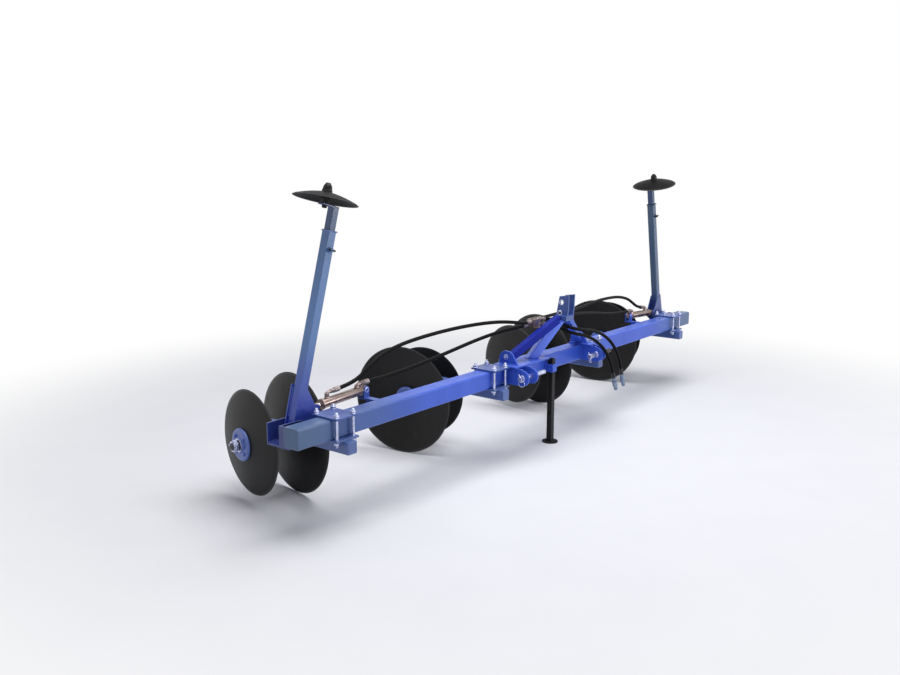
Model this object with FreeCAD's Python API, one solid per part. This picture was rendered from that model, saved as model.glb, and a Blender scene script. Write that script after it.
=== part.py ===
import FreeCAD, Part
import math
import os

os.makedirs("parts", exist_ok=True)
V = FreeCAD.Vector

# Disc ridger, millimetres. X runs along the toolbar, -Y is the tractor side, +Z is up and Z = 0 is the ground.
# Everything is laid out from the toolbar's front face (Y = 0) and moved by frame_shift_y when it is written.
frame_shift_y = -366.6
toolbar_len = 4200.0

# Discs and gangs
large_disc_r = 330.0
small_disc_r = 280.0
large_dish = 60.0
small_dish = 45.0
disc_t = 6.0
disc_flat_r = 76.0
axle_height = large_disc_r
gang_toe = 10.0
gang_from_end = 281.0
gang_x_outer = toolbar_len / 2 - gang_from_end
gang_x_inner = 553.0
gang_y = 602.0
small_rim_at = -66.0
large_rim_at = 198.0
axle_r = 25.0
hub_flange_r = 72.0
hub_flange_t = 22.0
hub_bolt_circle_r = 52.0
hub_bolt_r = 7.0
hub_bolt_count = 4
axle_end_r = 19.0
axle_end_len = 42.0
axle_nut_flats = 60.0
axle_nut_t = 28.0
spool_r = 38.0
bearing_r = 55.0
bearing_half_len = 84.0
bearing_at = 18.0
running_gap = 0.05
seat_gap = 0.3
bolt_hole_gap = 0.4

# Toolbar and gang arms
toolbar_w = 100.0
toolbar_wall = 8.0
toolbar_corner_r = 10.0
toolbar_bottom = 462.0
end_cap_t = 6.0
arm_w = 62.0
arm_wall = 6.0
arm_corner_r = 6.0
arm_front_out = 64.0
arm_rear_out = 66.0
arm_cap_t = 6.0
clamp_half_x = 75.0
clamp_front_out = 36.0
clamp_rear_out = 36.0
clamp_t = 10.0
clamp_bolt_r = 8.0
clamp_bolt_half_x = 55.0
clamp_bolt_out = 18.0
bolt_head_t = 14.0
bolt_end = 12.0
bolt_head_flats = 26.0
hanger_t = 10.0
hanger_half_y = 60.0
drain_at = 200.0
drain_r = 8.0

# Mast and braces
mast_gap = 54.0
mast_plate_t = 12.0
mast_hole_r = 12.8
mast_hole_top = (-110.0, 909.0)
mast_hole_low = (-98.0, 843.0)
mast_outline = ((-94.0, 946.0), (-160.0, 956.0), (-157.0, 860.0), (-145.0, 795.0), (-66.0, 795.0))
mast_block_half_x = 45.0
mast_block_z = (795.0, 826.0)
mast_block_y = (-150.0, -70.0)
front_brace_w = 56.0
front_brace_wall = 5.0
brace_corner_r = 5.0
front_brace_top = (-20.0, -106.0, 830.0)
front_brace_foot = (-185.0, 14.0, 562.0)
rear_brace_w = 46.0
rear_brace_wall = 4.0
rear_brace_top = (18.0, -104.0, 826.0)
rear_brace_foot = (404.0, 25.0, 600.0)
brace_seam = 0.4
brace_spare = 60.0
cutter_reach = 500.0
lug_x = 410.0
lug_t = 12.0
lug_h = 76.0
lug_foot_y = (-48.0, 85.0)
lug_front = ((-16.0, 50.0), (0.0, 69.0), (26.0, lug_h))
lug_back = ((66.0, 68.0), (85.0, 30.0))
lug_bolt = (35.0, 40.0)
lug_bolt_r = 8.0

# Lower hitch
hitch_plate_t = 12.0
hitch_left_plates = (-458.5, -363.5)
hitch_right_plates = (lug_x - lug_t / 2, 446.5)
hitch_pin_y = -110.0
hitch_pin_z = 509.0
hitch_nose_r = 47.0
hitch_top_t = 10.0
hitch_top_y = (-74.0, 90.0)
hitch_top_side = 10.0
hitch_top_inner_left = 100.0
hitch_pin_r = 16.0
hitch_tail_r = 14.0
hitch_pin_clip_out = (26.0, 88.0)
hitch_pin_tail_out = 132.0
hitch_collar_r = 21.0
hitch_collar_t = 6.0

# Parking stand
stand_x = -10.0
stand_y = -30.0
stand_w = 36.0
stand_wall = 3.0
stand_corner_r = 4.0
stand_top = 543.0
stand_foot_r = 50.0
stand_foot_t = 8.0
stand_fit = 0.5
sleeve_w = 48.0
sleeve_z = (459.0, 510.0)
sleeve_back_half = 34.0

# Row markers
marker_pivot_in = 158.0
marker_pivot_x = toolbar_len / 2 - marker_pivot_in
marker_pivot_y = 205.0
marker_pivot_z = 505.0
marker_lean = 14.5
marker_tilt = 1.7
marker_tube_w = 50.0
marker_tube_wall = 4.0
marker_corner_r = 5.0
marker_tube_len = 960.0
marker_pin_r = 12.0
marker_boss_r = 22.0
gusset_t = 8.0
gusset_pivot_r = 38.0
gusset_eye_r = 24.0
marker_eye = (125.0, 70.0)
extension_w = 40.0
extension_wall = 4.0
extension_low = 560.0
extension_top = marker_tube_len + 108.0
set_bolt_at = marker_tube_len - 95.0
marker_plate_t = 8.0
marker_axle_out = 60.0
marker_axle_r = 10.0
marker_axle_top = extension_top + 108.0
marker_disc_r = 160.0
marker_disc_dish = 35.0
marker_disc_t = 4.0
marker_disc_flat_r = 40.0
marker_rim_at = extension_top + 26.0
marker_hub_r = 26.0
marker_nut_flats = 30.0

# Marker bracket behind the toolbar
bracket_side_gap = 6.0
bracket_ear_t = 8.0
bracket_half_in = 44.0
bracket_half_out = 130.0
bracket_base_z = 440.0
bracket_base_t = 10.0
bracket_ear_r = 42.0
bracket_outer_post_h = 30.0

# Marker cylinders
cylinder_base_in = 485.0
cylinder_base_up = 90.0
cylinder_base = (marker_pivot_x - cylinder_base_in, marker_pivot_z + cylinder_base_up)
barrel_r = 25.0
barrel_bore_r = 20.0
barrel_len = 308.0
barrel_back = 30.0
gland_t = 12.0
gland_r = 28.0
rod_r = 12.0
piston_t = 16.0
piston_at = 36.0
barrel_eye_r = 21.0
barrel_eye_half = 12.0
cylinder_pin_r = 9.0
rod_eye_r = 20.0
rod_eye_half = 18.0
rod_pin_r = 10.0
cylinder_ear_gap = 0.5
cylinder_ear_t = 8.0
cylinder_ear_r = 20.0
cylinder_base_z = 545.0
cylinder_base_t = 10.0
port_gland_at = 262.0
port_gland_h = 50.0
port_base_at = 50.0
port_base_h = 37.0
port_boss_r = 12.0
port_nipple_r = 8.5
port_nipple_len = 40.0
hose_port_gap = 8.0

# Hydraulic tee block and hoses
hose_r = 10.5
tee_centre = (-143.0, 22.0, 786.0)
tee_size = (70.0, 54.0, 44.0)
tee_nipple_r = 9.0
tee_nipple_len = 18.0
tee_tab_t = 8.0
tee_tab_reach = 56.0
coupler_r = 13.0
coupler_collar_r = 17.0
coupler_len = 92.0
coupler_collar_at = 34.0
coupler_collar_len = 26.0

# Hose routes: the points between the two ends of each hose, drawn for this distance of the marker pivots.
# With a longer or shorter toolbar the outer points go with the cylinders and the inner ones stay by the mast.
route_pivot_x = 1942.0
route_still_x = 250.0
route_going_x = 1400.0
route_left_high = (
    (-1584.0, 204.0, 640.0), (-1495.0, 200.0, 664.0), (-1421.0, 194.0, 715.0), (-1324.0, 186.0, 766.0),
    (-1193.0, 174.0, 797.0), (-1009.0, 152.0, 818.0), (-810.0, 120.0, 832.0), (-620.0, 85.0, 836.0),
    (-470.0, 50.0, 831.0), (-355.0, 23.0, 815.0), (-265.0, 10.0, 797.0))
route_left_low = (
    (-1367.0, 204.0, 631.0), (-1263.0, 201.0, 634.0), (-1124.0, 193.0, 645.0), (-946.0, 178.0, 667.0),
    (-758.0, 156.0, 698.0), (-580.0, 124.0, 733.0), (-430.0, 77.0, 762.0), (-325.0, 43.0, 773.0),
    (-255.0, 34.0, 775.0))
route_right_high = (
    (1600.0, 204.0, 643.0), (1512.0, 202.0, 684.0), (1410.0, 196.0, 733.0), (1245.0, 186.0, 768.0),
    (1061.0, 173.0, 781.0), (870.0, 155.0, 785.0), (680.0, 134.0, 777.0), (490.0, 109.0, 775.0),
    (310.0, 82.0, 784.0), (150.0, 54.0, 795.0), (20.0, 37.0, 798.0))
route_right_low = (
    (1367.0, 204.0, 632.0), (1243.0, 199.0, 641.0), (1085.0, 187.0, 660.0), (897.0, 169.0, 690.0),
    (699.0, 145.0, 721.0), (500.0, 115.0, 743.0), (320.0, 85.0, 757.0), (150.0, 54.0, 768.0),
    (20.0, 37.0, 774.0))
route_feed_a = (
    (-42.0, 8.0, 798.0), (6.0, -7.0, 787.0), (48.0, -41.0, 765.0), (89.0, -83.0, 737.0), (132.0, -119.0, 720.0),
    (200.0, -134.0, 707.0), (290.0, -139.0, 691.0), (385.0, -144.0, 663.0), (465.0, -152.0, 621.0),
    (530.0, -161.0, 569.0), (583.0, -168.0, 506.0), (620.0, -174.0, 429.0), (643.0, -178.0, 345.0))
route_feed_b = (
    (-42.0, 8.0, 774.0), (6.0, -6.0, 761.0), (48.0, -39.0, 735.0), (89.0, -79.0, 706.0), (132.0, -113.0, 689.0),
    (195.0, -130.0, 674.0), (265.0, -140.0, 650.0), (335.0, -152.0, 613.0), (400.0, -166.0, 563.0),
    (450.0, -178.0, 497.0), (485.0, -186.0, 424.0), (510.0, -191.0, 344.0))


def box(x0, x1, y0, y1, z0, z1):
    return Part.makeBox(x1 - x0, y1 - y0, z1 - z0, V(x0, y0, z0))


def tube_bar(x0, x1, y0, y1, z0, z1, along, r):
    """Box whose four edges that run along `along` are rounded to r, as a rolled tube's are."""
    bar = box(x0, x1, y0, y1, z0, z1)
    way = V(*along)
    edges = [e for e in bar.Edges if abs(e.tangentAt(e.FirstParameter).dot(way)) > 0.99]
    return bar.makeFillet(r, edges)


def rod(p, d, r, length):
    return Part.makeCylinder(r, length, V(*p), V(*d))


def hexagon(p, d, flats, t):
    z = V(*d).normalize()
    x = z.cross(V(0.3, 0.9, 0.31)).normalize()
    y = z.cross(x)
    corner = flats / math.sqrt(3.0)
    pts = []
    for i in range(7):
        a = math.radians(60 * i)
        pts.append(V(*p) + x * (corner * math.cos(a)) + y * (corner * math.sin(a)))
    return Part.Face(Part.makePolygon(pts)).extrude(z * t)


def fuse(shapes):
    out = shapes[0]
    for s in shapes[1:]:
        out = out.fuse(s)
    return out.removeSplitter()


def prism_yz(pts, x0, x1):
    """Plate whose outline (y, z) lies in the YZ plane."""
    wire = Part.makePolygon([V(x0, y, z) for y, z in pts] + [V(x0, pts[0][0], pts[0][1])])
    return Part.Face(wire).extrude(V(x1 - x0, 0, 0))


def prism_xz(pts, y0, y1):
    """Plate whose outline (x, z) lies in the XZ plane."""
    wire = Part.makePolygon([V(x, y0, z) for x, z in pts] + [V(pts[0][0], y0, pts[0][1])])
    return Part.Face(wire).extrude(V(0, y1 - y0, 0))


def square_between(p, q, w, longer, corner_r=0):
    """Square bar of width w from p to q, longer by `longer` at both ends, two sides kept upright."""
    p = V(*p)
    q = V(*q)
    d = (q - p).normalize()
    side = d.cross(V(0, 0, 1)).normalize()
    up = side.cross(d)
    a = p - d * longer
    pts = []
    for i, j in ((-1, -1), (1, -1), (1, 1), (-1, 1), (-1, -1)):
        pts.append(a + side * (i * w / 2) + up * (j * w / 2))
    bar = Part.Face(Part.makePolygon(pts)).extrude(d * ((q - p).Length + 2 * longer))
    if corner_r == 0:
        return bar
    edges = [e for e in bar.Edges if abs(e.tangentAt(e.FirstParameter).dot(d)) > 0.999]
    return bar.makeFillet(corner_r, edges)


def dished_disc(rim_r, dish, t, flat_r, hole_r):
    """Disc round +X: rim plane at x = 0, flat centre at x = -dish, bulging towards -X."""
    mid_r = (flat_r + rim_r) / 2
    mid_x = -dish * 0.60
    outer = Part.Arc(V(-dish, flat_r, 0), V(mid_x, mid_r, 0), V(0, rim_r, 0)).toShape()
    rim = Part.makeLine(V(0, rim_r, 0), V(t, rim_r - t * 0.4, 0))
    inner = Part.Arc(V(t, rim_r - t * 0.4, 0), V(mid_x + t, mid_r - t * 0.2, 0), V(-dish + t, flat_r, 0)).toShape()
    back = Part.makeLine(V(-dish + t, flat_r, 0), V(-dish + t, hole_r, 0))
    hole = Part.makeLine(V(-dish + t, hole_r, 0), V(-dish, hole_r, 0))
    front = Part.makeLine(V(-dish, hole_r, 0), V(-dish, flat_r, 0))
    face = Part.Face(Part.Wire([outer, rim, inner, back, hole, front]))
    return face.revolve(V(0, 0, 0), V(1, 0, 0), 360)


def hose(name, points, r):
    """Round hose: straight runs joined by tangent arcs."""
    pts = [V(*p) for p in points]
    edges = []
    start = pts[0]
    radii = []
    for i in range(1, len(pts) - 1):
        a = pts[i] - pts[i - 1]
        b = pts[i + 1] - pts[i]
        turn = a.getAngle(b)
        reach = 0.45 * min(a.Length, b.Length)
        radii.append(reach / math.tan(turn / 2))
        a.normalize()
        b.normalize()
        first = pts[i] - a * reach
        last = pts[i] + b * reach
        to_mid = (b - a).normalize()
        radius = radii[-1]
        centre = pts[i] + to_mid * (radius / math.cos(turn / 2))
        middle = centre - to_mid * radius
        edges.append(Part.makeLine(start, first))
        edges.append(Part.Arc(first, middle, last).toShape())
        start = last
    edges.append(Part.makeLine(start, pts[-1]))
    path = Part.Wire(edges)
    ring = Part.Wire(Part.makeCircle(r, pts[0], pts[1] - pts[0]))
    tube = path.makePipeShell([ring], True, True, 2)
    length = path.Length
    share = tube.Volume / (math.pi * r * r * length)
    print(name, "length %.0f" % length, "smallest radius %.0f" % min(radii), "volume/section*length %.4f" % share)
    return tube


def save(name, solids):
    """Write one node; every entry is a separate solid."""
    shape = Part.makeCompound(solids) if len(solids) > 1 else solids[0]
    shape = shape.copy()
    shape.translate(V(0, frame_shift_y, 0))
    shape.exportStep("parts/%s.step" % name)
    b = shape.BoundBox
    print("%-22s %2d solids valid %s  x %.0f..%.0f y %.0f..%.0f z %.0f..%.0f vol %.0f cm3" % (
        name, len(shape.Solids), shape.isValid(), b.XMin, b.XMax, b.YMin, b.YMax, b.ZMin, b.ZMax, shape.Volume / 1000))
    return shape


toolbar_top = toolbar_bottom + toolbar_w
half_len = toolbar_len / 2
arm_top = toolbar_bottom - clamp_t
arm_bottom = arm_top - arm_w


def toolbar():
    outer = tube_bar(-half_len, half_len, 0, toolbar_w, toolbar_bottom, toolbar_top, (1, 0, 0), toolbar_corner_r)
    w = toolbar_wall
    return outer.cut(box(-half_len, half_len, w, toolbar_w - w, toolbar_bottom + w, toolbar_top - w))


def end_caps():
    w = toolbar_wall
    caps = []
    for x0 in (-half_len, half_len - end_cap_t):
        caps.append(box(x0, x0 + end_cap_t, w, toolbar_w - w, toolbar_bottom + w, toolbar_top - w))
    return caps


# The four gangs, left to right: arm position and the side on which the large disc stands.
gangs = ((-gang_x_outer, 1), (-gang_x_inner, -1), (gang_x_inner, 1), (gang_x_outer, -1))


def to_gang(shape, gang):
    """Place a shape drawn with the axle along +X (towards the large disc) at its gang."""
    x, side = gang
    s = shape.copy()
    turn = -gang_toe if side > 0 else 180 + gang_toe
    s.rotate(V(0, 0, 0), V(0, 0, 1), turn)
    s.translate(V(x, gang_y, axle_height))
    return s


def clamp_bolt_points(x):
    pts = []
    for dx in (-clamp_bolt_half_x, clamp_bolt_half_x):
        for y in (-clamp_bolt_out, toolbar_w + clamp_bolt_out):
            pts.append((x + dx, y))
    return pts


def clamp_plate(x, z0):
    plate = box(x - clamp_half_x, x + clamp_half_x, -clamp_front_out, toolbar_w + clamp_rear_out, z0, z0 + clamp_t)
    for bx, by in clamp_bolt_points(x):
        plate = plate.cut(rod((bx, by, z0 - 1), (0, 0, 1), clamp_bolt_r + bolt_hole_gap, clamp_t + 2))
    return plate


def clamp_bolts(x):
    """Four threaded rods, each with a nut on the top plate and one under the bottom plate."""
    bolts = []
    low = toolbar_bottom - clamp_t
    high = toolbar_top + clamp_t
    for bx, by in clamp_bolt_points(x):
        out = bolt_head_t + bolt_end
        shank = rod((bx, by, low - out), (0, 0, 1), clamp_bolt_r, high - low + 2 * out)
        head = hexagon((bx, by, high), (0, 0, 1), bolt_head_flats, bolt_head_t)
        nut = hexagon((bx, by, low - bolt_head_t), (0, 0, 1), bolt_head_flats, bolt_head_t)
        bolts.append(fuse([shank, head, nut]))
    return bolts


def gang_arm(gang):
    """Bottom clamp plate, square arm under it and the bearing housing hung from the arm's rear end."""
    x = gang[0]
    y0 = -arm_front_out
    y1 = gang_y + arm_rear_out
    h = arm_w / 2
    w = arm_wall
    tube = tube_bar(x - h, x + h, y0, y1, arm_bottom, arm_top, (0, 1, 0), arm_corner_r)
    tube = tube.cut(box(x - h + w, x + h - w, y0 + arm_cap_t, y1 - arm_cap_t, arm_bottom + w, arm_top - w))
    # drain opening in the underside keeps the inside of the tube open to the air
    tube = tube.cut(rod((x, drain_at, arm_bottom - 1), (0, 0, 1), drain_r, w + 2))
    bearing = to_gang(rod((bearing_at - bearing_half_len, 0, 0), (1, 0, 0), bearing_r, 2 * bearing_half_len), gang)
    web = box(x - h + 4, x + h - 4, gang_y - hanger_half_y, gang_y + hanger_half_y, axle_height, arm_bottom)
    body = fuse([tube, clamp_plate(x, toolbar_bottom - clamp_t), web, bearing])
    bore = rod((bearing_at - bearing_half_len - 1, 0, 0), (1, 0, 0), axle_r + running_gap, 2 * bearing_half_len + 2)
    return body.cut(to_gang(bore, gang))


def axle(gang):
    """Shaft through the bearing, spools that space the discs, bolted outer flanges and end nuts."""
    small_at = small_rim_at - small_dish
    large_at = large_rim_at - large_dish
    left = bearing_at - bearing_half_len
    right = bearing_at + bearing_half_len
    parts = []
    x0 = small_at - hub_flange_t
    x1 = large_at + disc_t + hub_flange_t
    parts.append(rod((x0, 0, 0), (1, 0, 0), axle_r, x1 - x0))
    parts.append(rod((x0, 0, 0), (1, 0, 0), hub_flange_r, hub_flange_t))
    parts.append(rod((small_at + disc_t, 0, 0), (1, 0, 0), spool_r, left - seat_gap - small_at - disc_t))
    parts.append(rod((right + seat_gap, 0, 0), (1, 0, 0), spool_r, large_at - right - seat_gap))
    parts.append(rod((large_at + disc_t, 0, 0), (1, 0, 0), hub_flange_r, hub_flange_t))
    for start, way in ((x0, -1), (x1, 1)):
        parts.append(rod((start, 0, 0), (way, 0, 0), axle_end_r, axle_end_len))
        parts.append(hexagon((start, 0, 0), (way, 0, 0), axle_nut_flats, axle_nut_t))
        for i in range(hub_bolt_count):
            a = math.radians(45 + 90 * i)
            y = hub_bolt_circle_r * math.cos(a)
            z = hub_bolt_circle_r * math.sin(a)
            parts.append(hexagon((start, y, z), (way, 0, 0), 2.6 * hub_bolt_r, 9))
    return to_gang(fuse(parts), gang)


def gang_discs(gang):
    small = dished_disc(small_disc_r, small_dish, disc_t, disc_flat_r, axle_r)
    small.translate(V(small_rim_at, 0, 0))
    large = dished_disc(large_disc_r, large_dish, disc_t, disc_flat_r, axle_r)
    large.translate(V(large_rim_at, 0, 0))
    return [to_gang(small, gang), to_gang(large, gang)]


def mast_block():
    y0, y1 = mast_block_y
    z0, z1 = mast_block_z
    return box(-mast_block_half_x, mast_block_half_x, y0, y1, z0, z1)


def mast():
    """Top-link clevis: two leaning plates on a cross block."""
    parts = [mast_block()]
    inner = mast_gap / 2
    for x0 in (-inner - mast_plate_t, inner):
        parts.append(prism_yz(mast_outline, x0, x0 + mast_plate_t))
    body = fuse(parts)
    for y, z in (mast_hole_top, mast_hole_low):
        body = body.cut(rod((-2 * inner, y, z), (1, 0, 0), mast_hole_r, 4 * inner))
    return body


def mirrored(p, side):
    return (p[0] * side, p[1], p[2])


def front_brace_bar(seam=0.0):
    return square_between(front_brace_top, front_brace_foot, front_brace_w + seam, brace_spare, brace_corner_r)


def front_brace():
    """Square tube from the mast block down to the left hitch plate, cut level at both ends."""
    bar = front_brace_bar()
    hollow = square_between(front_brace_top, front_brace_foot, front_brace_w - 2 * front_brace_wall, brace_spare + 1)
    tube = bar.cut(hollow)
    far = cutter_reach
    slab = box(-far, far, -far, far, toolbar_top + hitch_top_t, mast_block_z[0])
    return tube.common(slab)


def rear_brace(side):
    """Square tube from the mast block down to the bolted lug on top of the toolbar."""
    a = mirrored(rear_brace_top, side)
    b = mirrored(rear_brace_foot, side)
    bar = square_between(a, b, rear_brace_w, brace_spare, brace_corner_r)
    hollow = square_between(a, b, rear_brace_w - 2 * rear_brace_wall, brace_spare + 1)
    tube = bar.cut(hollow)
    inner = lug_x - lug_t / 2
    start = mast_block_half_x
    x0, x1 = (start, inner) if side > 0 else (-inner, -start)
    tube = tube.common(box(x0, x1, -cutter_reach, cutter_reach, toolbar_top + hitch_top_t, mast_block_z[1]))
    tube = tube.cut(front_brace_bar(brace_seam))
    solids = sorted(tube.Solids, key=lambda s: s.Volume)
    return solids[-1]


def brace_lug(side):
    """Round-topped upright plate on the bracket's top plate, with the bolt of the rear brace."""
    x0 = side * lug_x - lug_t / 2
    z0 = toolbar_top + hitch_top_t

    def at(p):
        return V(x0, p[0], z0 + p[1])

    front = (lug_foot_y[0], 0)
    back = (lug_foot_y[1], 0)
    edges = [Part.makeLine(at(front), at(lug_front[0])),
             Part.Arc(at(lug_front[0]), at(lug_front[1]), at(lug_front[2])).toShape(),
             Part.Arc(at(lug_front[2]), at(lug_back[0]), at(lug_back[1])).toShape(),
             Part.makeLine(at(lug_back[1]), at(back)),
             Part.makeLine(at(back), at(front))]
    plate = Part.Face(Part.Wire(edges)).extrude(V(lug_t, 0, 0))
    bolt_y, bolt_z = lug_bolt
    head = hexagon((side * (lug_x + lug_t / 2), bolt_y, z0 + bolt_z), (side, 0, 0), 2.6 * lug_bolt_r, 9)
    return fuse([plate, head])


def hitch_plate_xs(side):
    return hitch_right_plates if side > 0 else hitch_left_plates


def hitch_bracket(side):
    """Pair of round-nosed plates in front of the toolbar, tied by a plate that lies on its top."""
    parts = []
    for x0 in hitch_plate_xs(side):
        flat = box(x0, x0 + hitch_plate_t, hitch_pin_y, 0, hitch_pin_z - hitch_nose_r, toolbar_top)
        nose = rod((x0, hitch_pin_y, hitch_pin_z), (1, 0, 0), hitch_nose_r, hitch_plate_t)
        parts.append(fuse([flat, nose]))
    first, last = hitch_plate_xs(side)
    x0 = first - hitch_top_side
    x1 = last + hitch_plate_t + hitch_top_side if side > 0 else -hitch_top_inner_left
    y0, y1 = hitch_top_y
    top = box(x0, x1, y0, y1, toolbar_top, toolbar_top + hitch_top_t)
    body = fuse(parts + [top])
    return body.cut(rod((first - 10, hitch_pin_y, hitch_pin_z), (1, 0, 0), hitch_pin_r + running_gap, 200))


def hitch_pin(side):
    """Pin with a collar and clip on its left end and a long free tail on its right end."""
    left, last = hitch_plate_xs(side)
    right = last + hitch_plate_t
    x0 = left - hitch_pin_clip_out[0 if side < 0 else 1]
    pin = rod((x0, hitch_pin_y, hitch_pin_z), (1, 0, 0), hitch_pin_r, right - x0)
    tail = rod((right, hitch_pin_y, hitch_pin_z), (1, 0, 0), hitch_tail_r, hitch_pin_tail_out)
    collar = rod((left - hitch_collar_t, hitch_pin_y, hitch_pin_z), (1, 0, 0), hitch_collar_r, hitch_collar_t)
    return fuse([pin, tail, collar])


def stand_sleeve():
    h = sleeve_w / 2
    z0, z1 = sleeve_z
    outer = box(stand_x - h, stand_x + h, stand_y - h, stand_y + h, z0, z1)
    back = box(stand_x - sleeve_back_half, stand_x + sleeve_back_half, stand_y + h, 0, z0, z1 + 12)
    g = stand_w / 2 + stand_fit
    hole = box(stand_x - g, stand_x + g, stand_y - g, stand_y + g, z0 - 1, z1 + 1)
    return fuse([outer, back]).cut(hole)


def stand_leg():
    h = stand_w / 2
    tube = tube_bar(stand_x - h, stand_x + h, stand_y - h, stand_y + h, 0, stand_top, (0, 0, 1), stand_corner_r)
    g = h - stand_wall
    tube = tube.cut(box(stand_x - g, stand_x + g, stand_y - g, stand_y + g, stand_foot_t, stand_top + 1))
    tube = tube.cut(rod((stand_x - 50, stand_y, 190), (1, 0, 0), 6, 100))
    foot = rod((stand_x, stand_y, 0), (0, 0, 1), stand_foot_r, stand_foot_t)
    return fuse([tube, foot])


def to_marker(shape, side):
    """Place a shape drawn with the arm along +Z from its pivot and +X pointing inboard."""
    s = shape.copy()
    s.rotate(V(0, 0, 0), V(1, 0, 0), marker_tilt)
    if side > 0:
        s = s.mirror(V(0, 0, 0), V(1, 0, 0))
    s.rotate(V(0, 0, 0), V(0, 1, 0), -side * marker_lean)
    s.translate(V(side * marker_pivot_x, marker_pivot_y, marker_pivot_z))
    return s


def upright_marker(shape, side):
    """Place a shape drawn round the pivot with +X inboard and +Z up, not leaning."""
    s = shape.copy()
    if side > 0:
        s = s.mirror(V(0, 0, 0), V(1, 0, 0))
    s.translate(V(side * marker_pivot_x, marker_pivot_y, marker_pivot_z))
    return s


def gusset_outline():
    ex, ez = marker_eye
    return ((0, -gusset_pivot_r), (ex + 14, ez - 22), (ex + 20, ez + 12), (ex - 16, ez + 26), (62, 190), (20, 205),
            (-gusset_pivot_r, 0))


def marker_arm(side):
    """Outer square tube with its pivot boss, set-bolt boss and the two lug plates for the rod's eye."""
    h = marker_tube_w / 2
    g = h - marker_tube_wall
    tube = tube_bar(-h, h, -h, h, -h, marker_tube_len, (0, 0, 1), marker_corner_r)
    tube = tube.cut(box(-g, g, -g, g, marker_boss_r + 6, marker_tube_len + 1))
    boss = rod((0, -h, set_bolt_at), (0, -1, 0), 11, 10)
    head = hexagon((0, -h - 10, set_bolt_at), (0, -1, 0), 19, 12)
    leaning = to_marker(fuse([tube, boss, head]), side)
    plates = []
    for y0 in (-h - gusset_t, h):
        plate = prism_xz(gusset_outline(), y0, y0 + gusset_t)
        plate = plate.fuse(rod((0, y0, 0), (0, 1, 0), gusset_pivot_r, gusset_t))
        plates.append(upright_marker(plate, side))
    body = fuse([leaning] + plates)
    hole = upright_marker(rod((0, -100, 0), (0, 1, 0), marker_pin_r + running_gap, 200), side)
    return body.cut(hole)


def marker_extension(side):
    """Inner square tube with the end plate and stub axle of the marker disc."""
    h = extension_w / 2
    g = h - extension_wall
    tube = tube_bar(-h, h, -h, h, extension_low, extension_top, (0, 0, 1), marker_corner_r - 1)
    tube = tube.cut(box(-g, g, -g, g, extension_low - 1, extension_top))
    plate = box(-marker_axle_out - 25, h, -h, h, extension_top, extension_top + marker_plate_t)
    stub = rod((-marker_axle_out, 0, extension_top), (0, 0, 1), marker_axle_r, marker_axle_top - extension_top)
    return to_marker(fuse([tube, plate, stub]), side)


def marker_disc(side):
    """Dished marker disc and its hub, round the stub axle, bulging away from the arm."""
    disc = dished_disc(marker_disc_r, marker_disc_dish, marker_disc_t, marker_disc_flat_r, marker_axle_r + 4)
    disc.rotate(V(0, 0, 0), V(0, 1, 0), 90)
    disc.translate(V(0, 0, marker_rim_at))
    low = extension_top + marker_plate_t + seat_gap
    hub = rod((0, 0, low), (0, 0, 1), marker_hub_r - 6, marker_rim_at + marker_disc_dish - marker_disc_t - low)
    cap = rod((0, 0, marker_rim_at + marker_disc_dish), (0, 0, 1), marker_hub_r, 14)
    nut = hexagon((0, 0, marker_rim_at + marker_disc_dish + 14), (0, 0, 1), marker_nut_flats, 16)
    core = rod((0, 0, low), (0, 0, 1), marker_hub_r - 8, marker_rim_at + marker_disc_dish - low)
    body = fuse([disc, hub, core, cap, nut])
    body.translate(V(-marker_axle_out, 0, 0))
    deep = marker_axle_top - low + 10
    body = body.cut(rod((-marker_axle_out, 0, low - 1), (0, 0, 1), marker_axle_r + running_gap, deep))
    return to_marker(body, side)


def marker_bracket(side):
    """Two ears behind the toolbar on a base plate, with the pin on which the marker arm folds."""
    h = marker_tube_w / 2 + gusset_t + bracket_side_gap
    t = bracket_ear_t
    rear = h + t
    front_face = toolbar_w - marker_pivot_y
    low = bracket_base_z - marker_pivot_z
    parts = []
    for y0 in (-h - t, h):
        ear = prism_xz(((bracket_half_in, low), (bracket_half_in, -20), (20, 38), (-20, 42),
                        (-bracket_half_out, 42), (-bracket_half_out, low)), y0, y0 + t)
        parts.append(ear)
    base = box(-bracket_half_out, bracket_half_in, front_face, rear, low, low + bracket_base_t)
    foot = box(-bracket_half_out, bracket_half_in, front_face, front_face + 8, low, toolbar_top - 10 - marker_pivot_z)
    spacer = box(-bracket_half_out, -bracket_half_out + 10, front_face, -h, low, 42)
    spacer2 = box(bracket_half_in - 10, bracket_half_in, front_face, -h, low, -20)
    pin = rod((0, -h - t - 6, 0), (0, 1, 0), marker_pin_r, 2 * (h + t + 6))
    head = rod((0, h + t, 0), (0, 1, 0), marker_pin_r + 7, 8)
    return upright_marker(fuse(parts + [base, foot, spacer, spacer2, pin, head]), side)


def cylinder_points(side):
    bx, bz = cylinder_base
    base = V(side * bx, marker_pivot_y, bz)
    eye = V(side * (marker_pivot_x - marker_eye[0]), marker_pivot_y, marker_pivot_z + marker_eye[1])
    return base, eye


def to_cylinder(shape, side):
    """Place a shape drawn with the cylinder along +X from its base pin, +Z up."""
    base, eye = cylinder_points(side)
    d = eye - base
    rise = math.degrees(math.atan2(d.z, abs(d.x)))
    s = shape.copy()
    s.rotate(V(0, 0, 0), V(0, 1, 0), -rise)
    if side < 0:
        s = s.mirror(V(0, 0, 0), V(1, 0, 0))
    s.translate(base)
    return s


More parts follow.
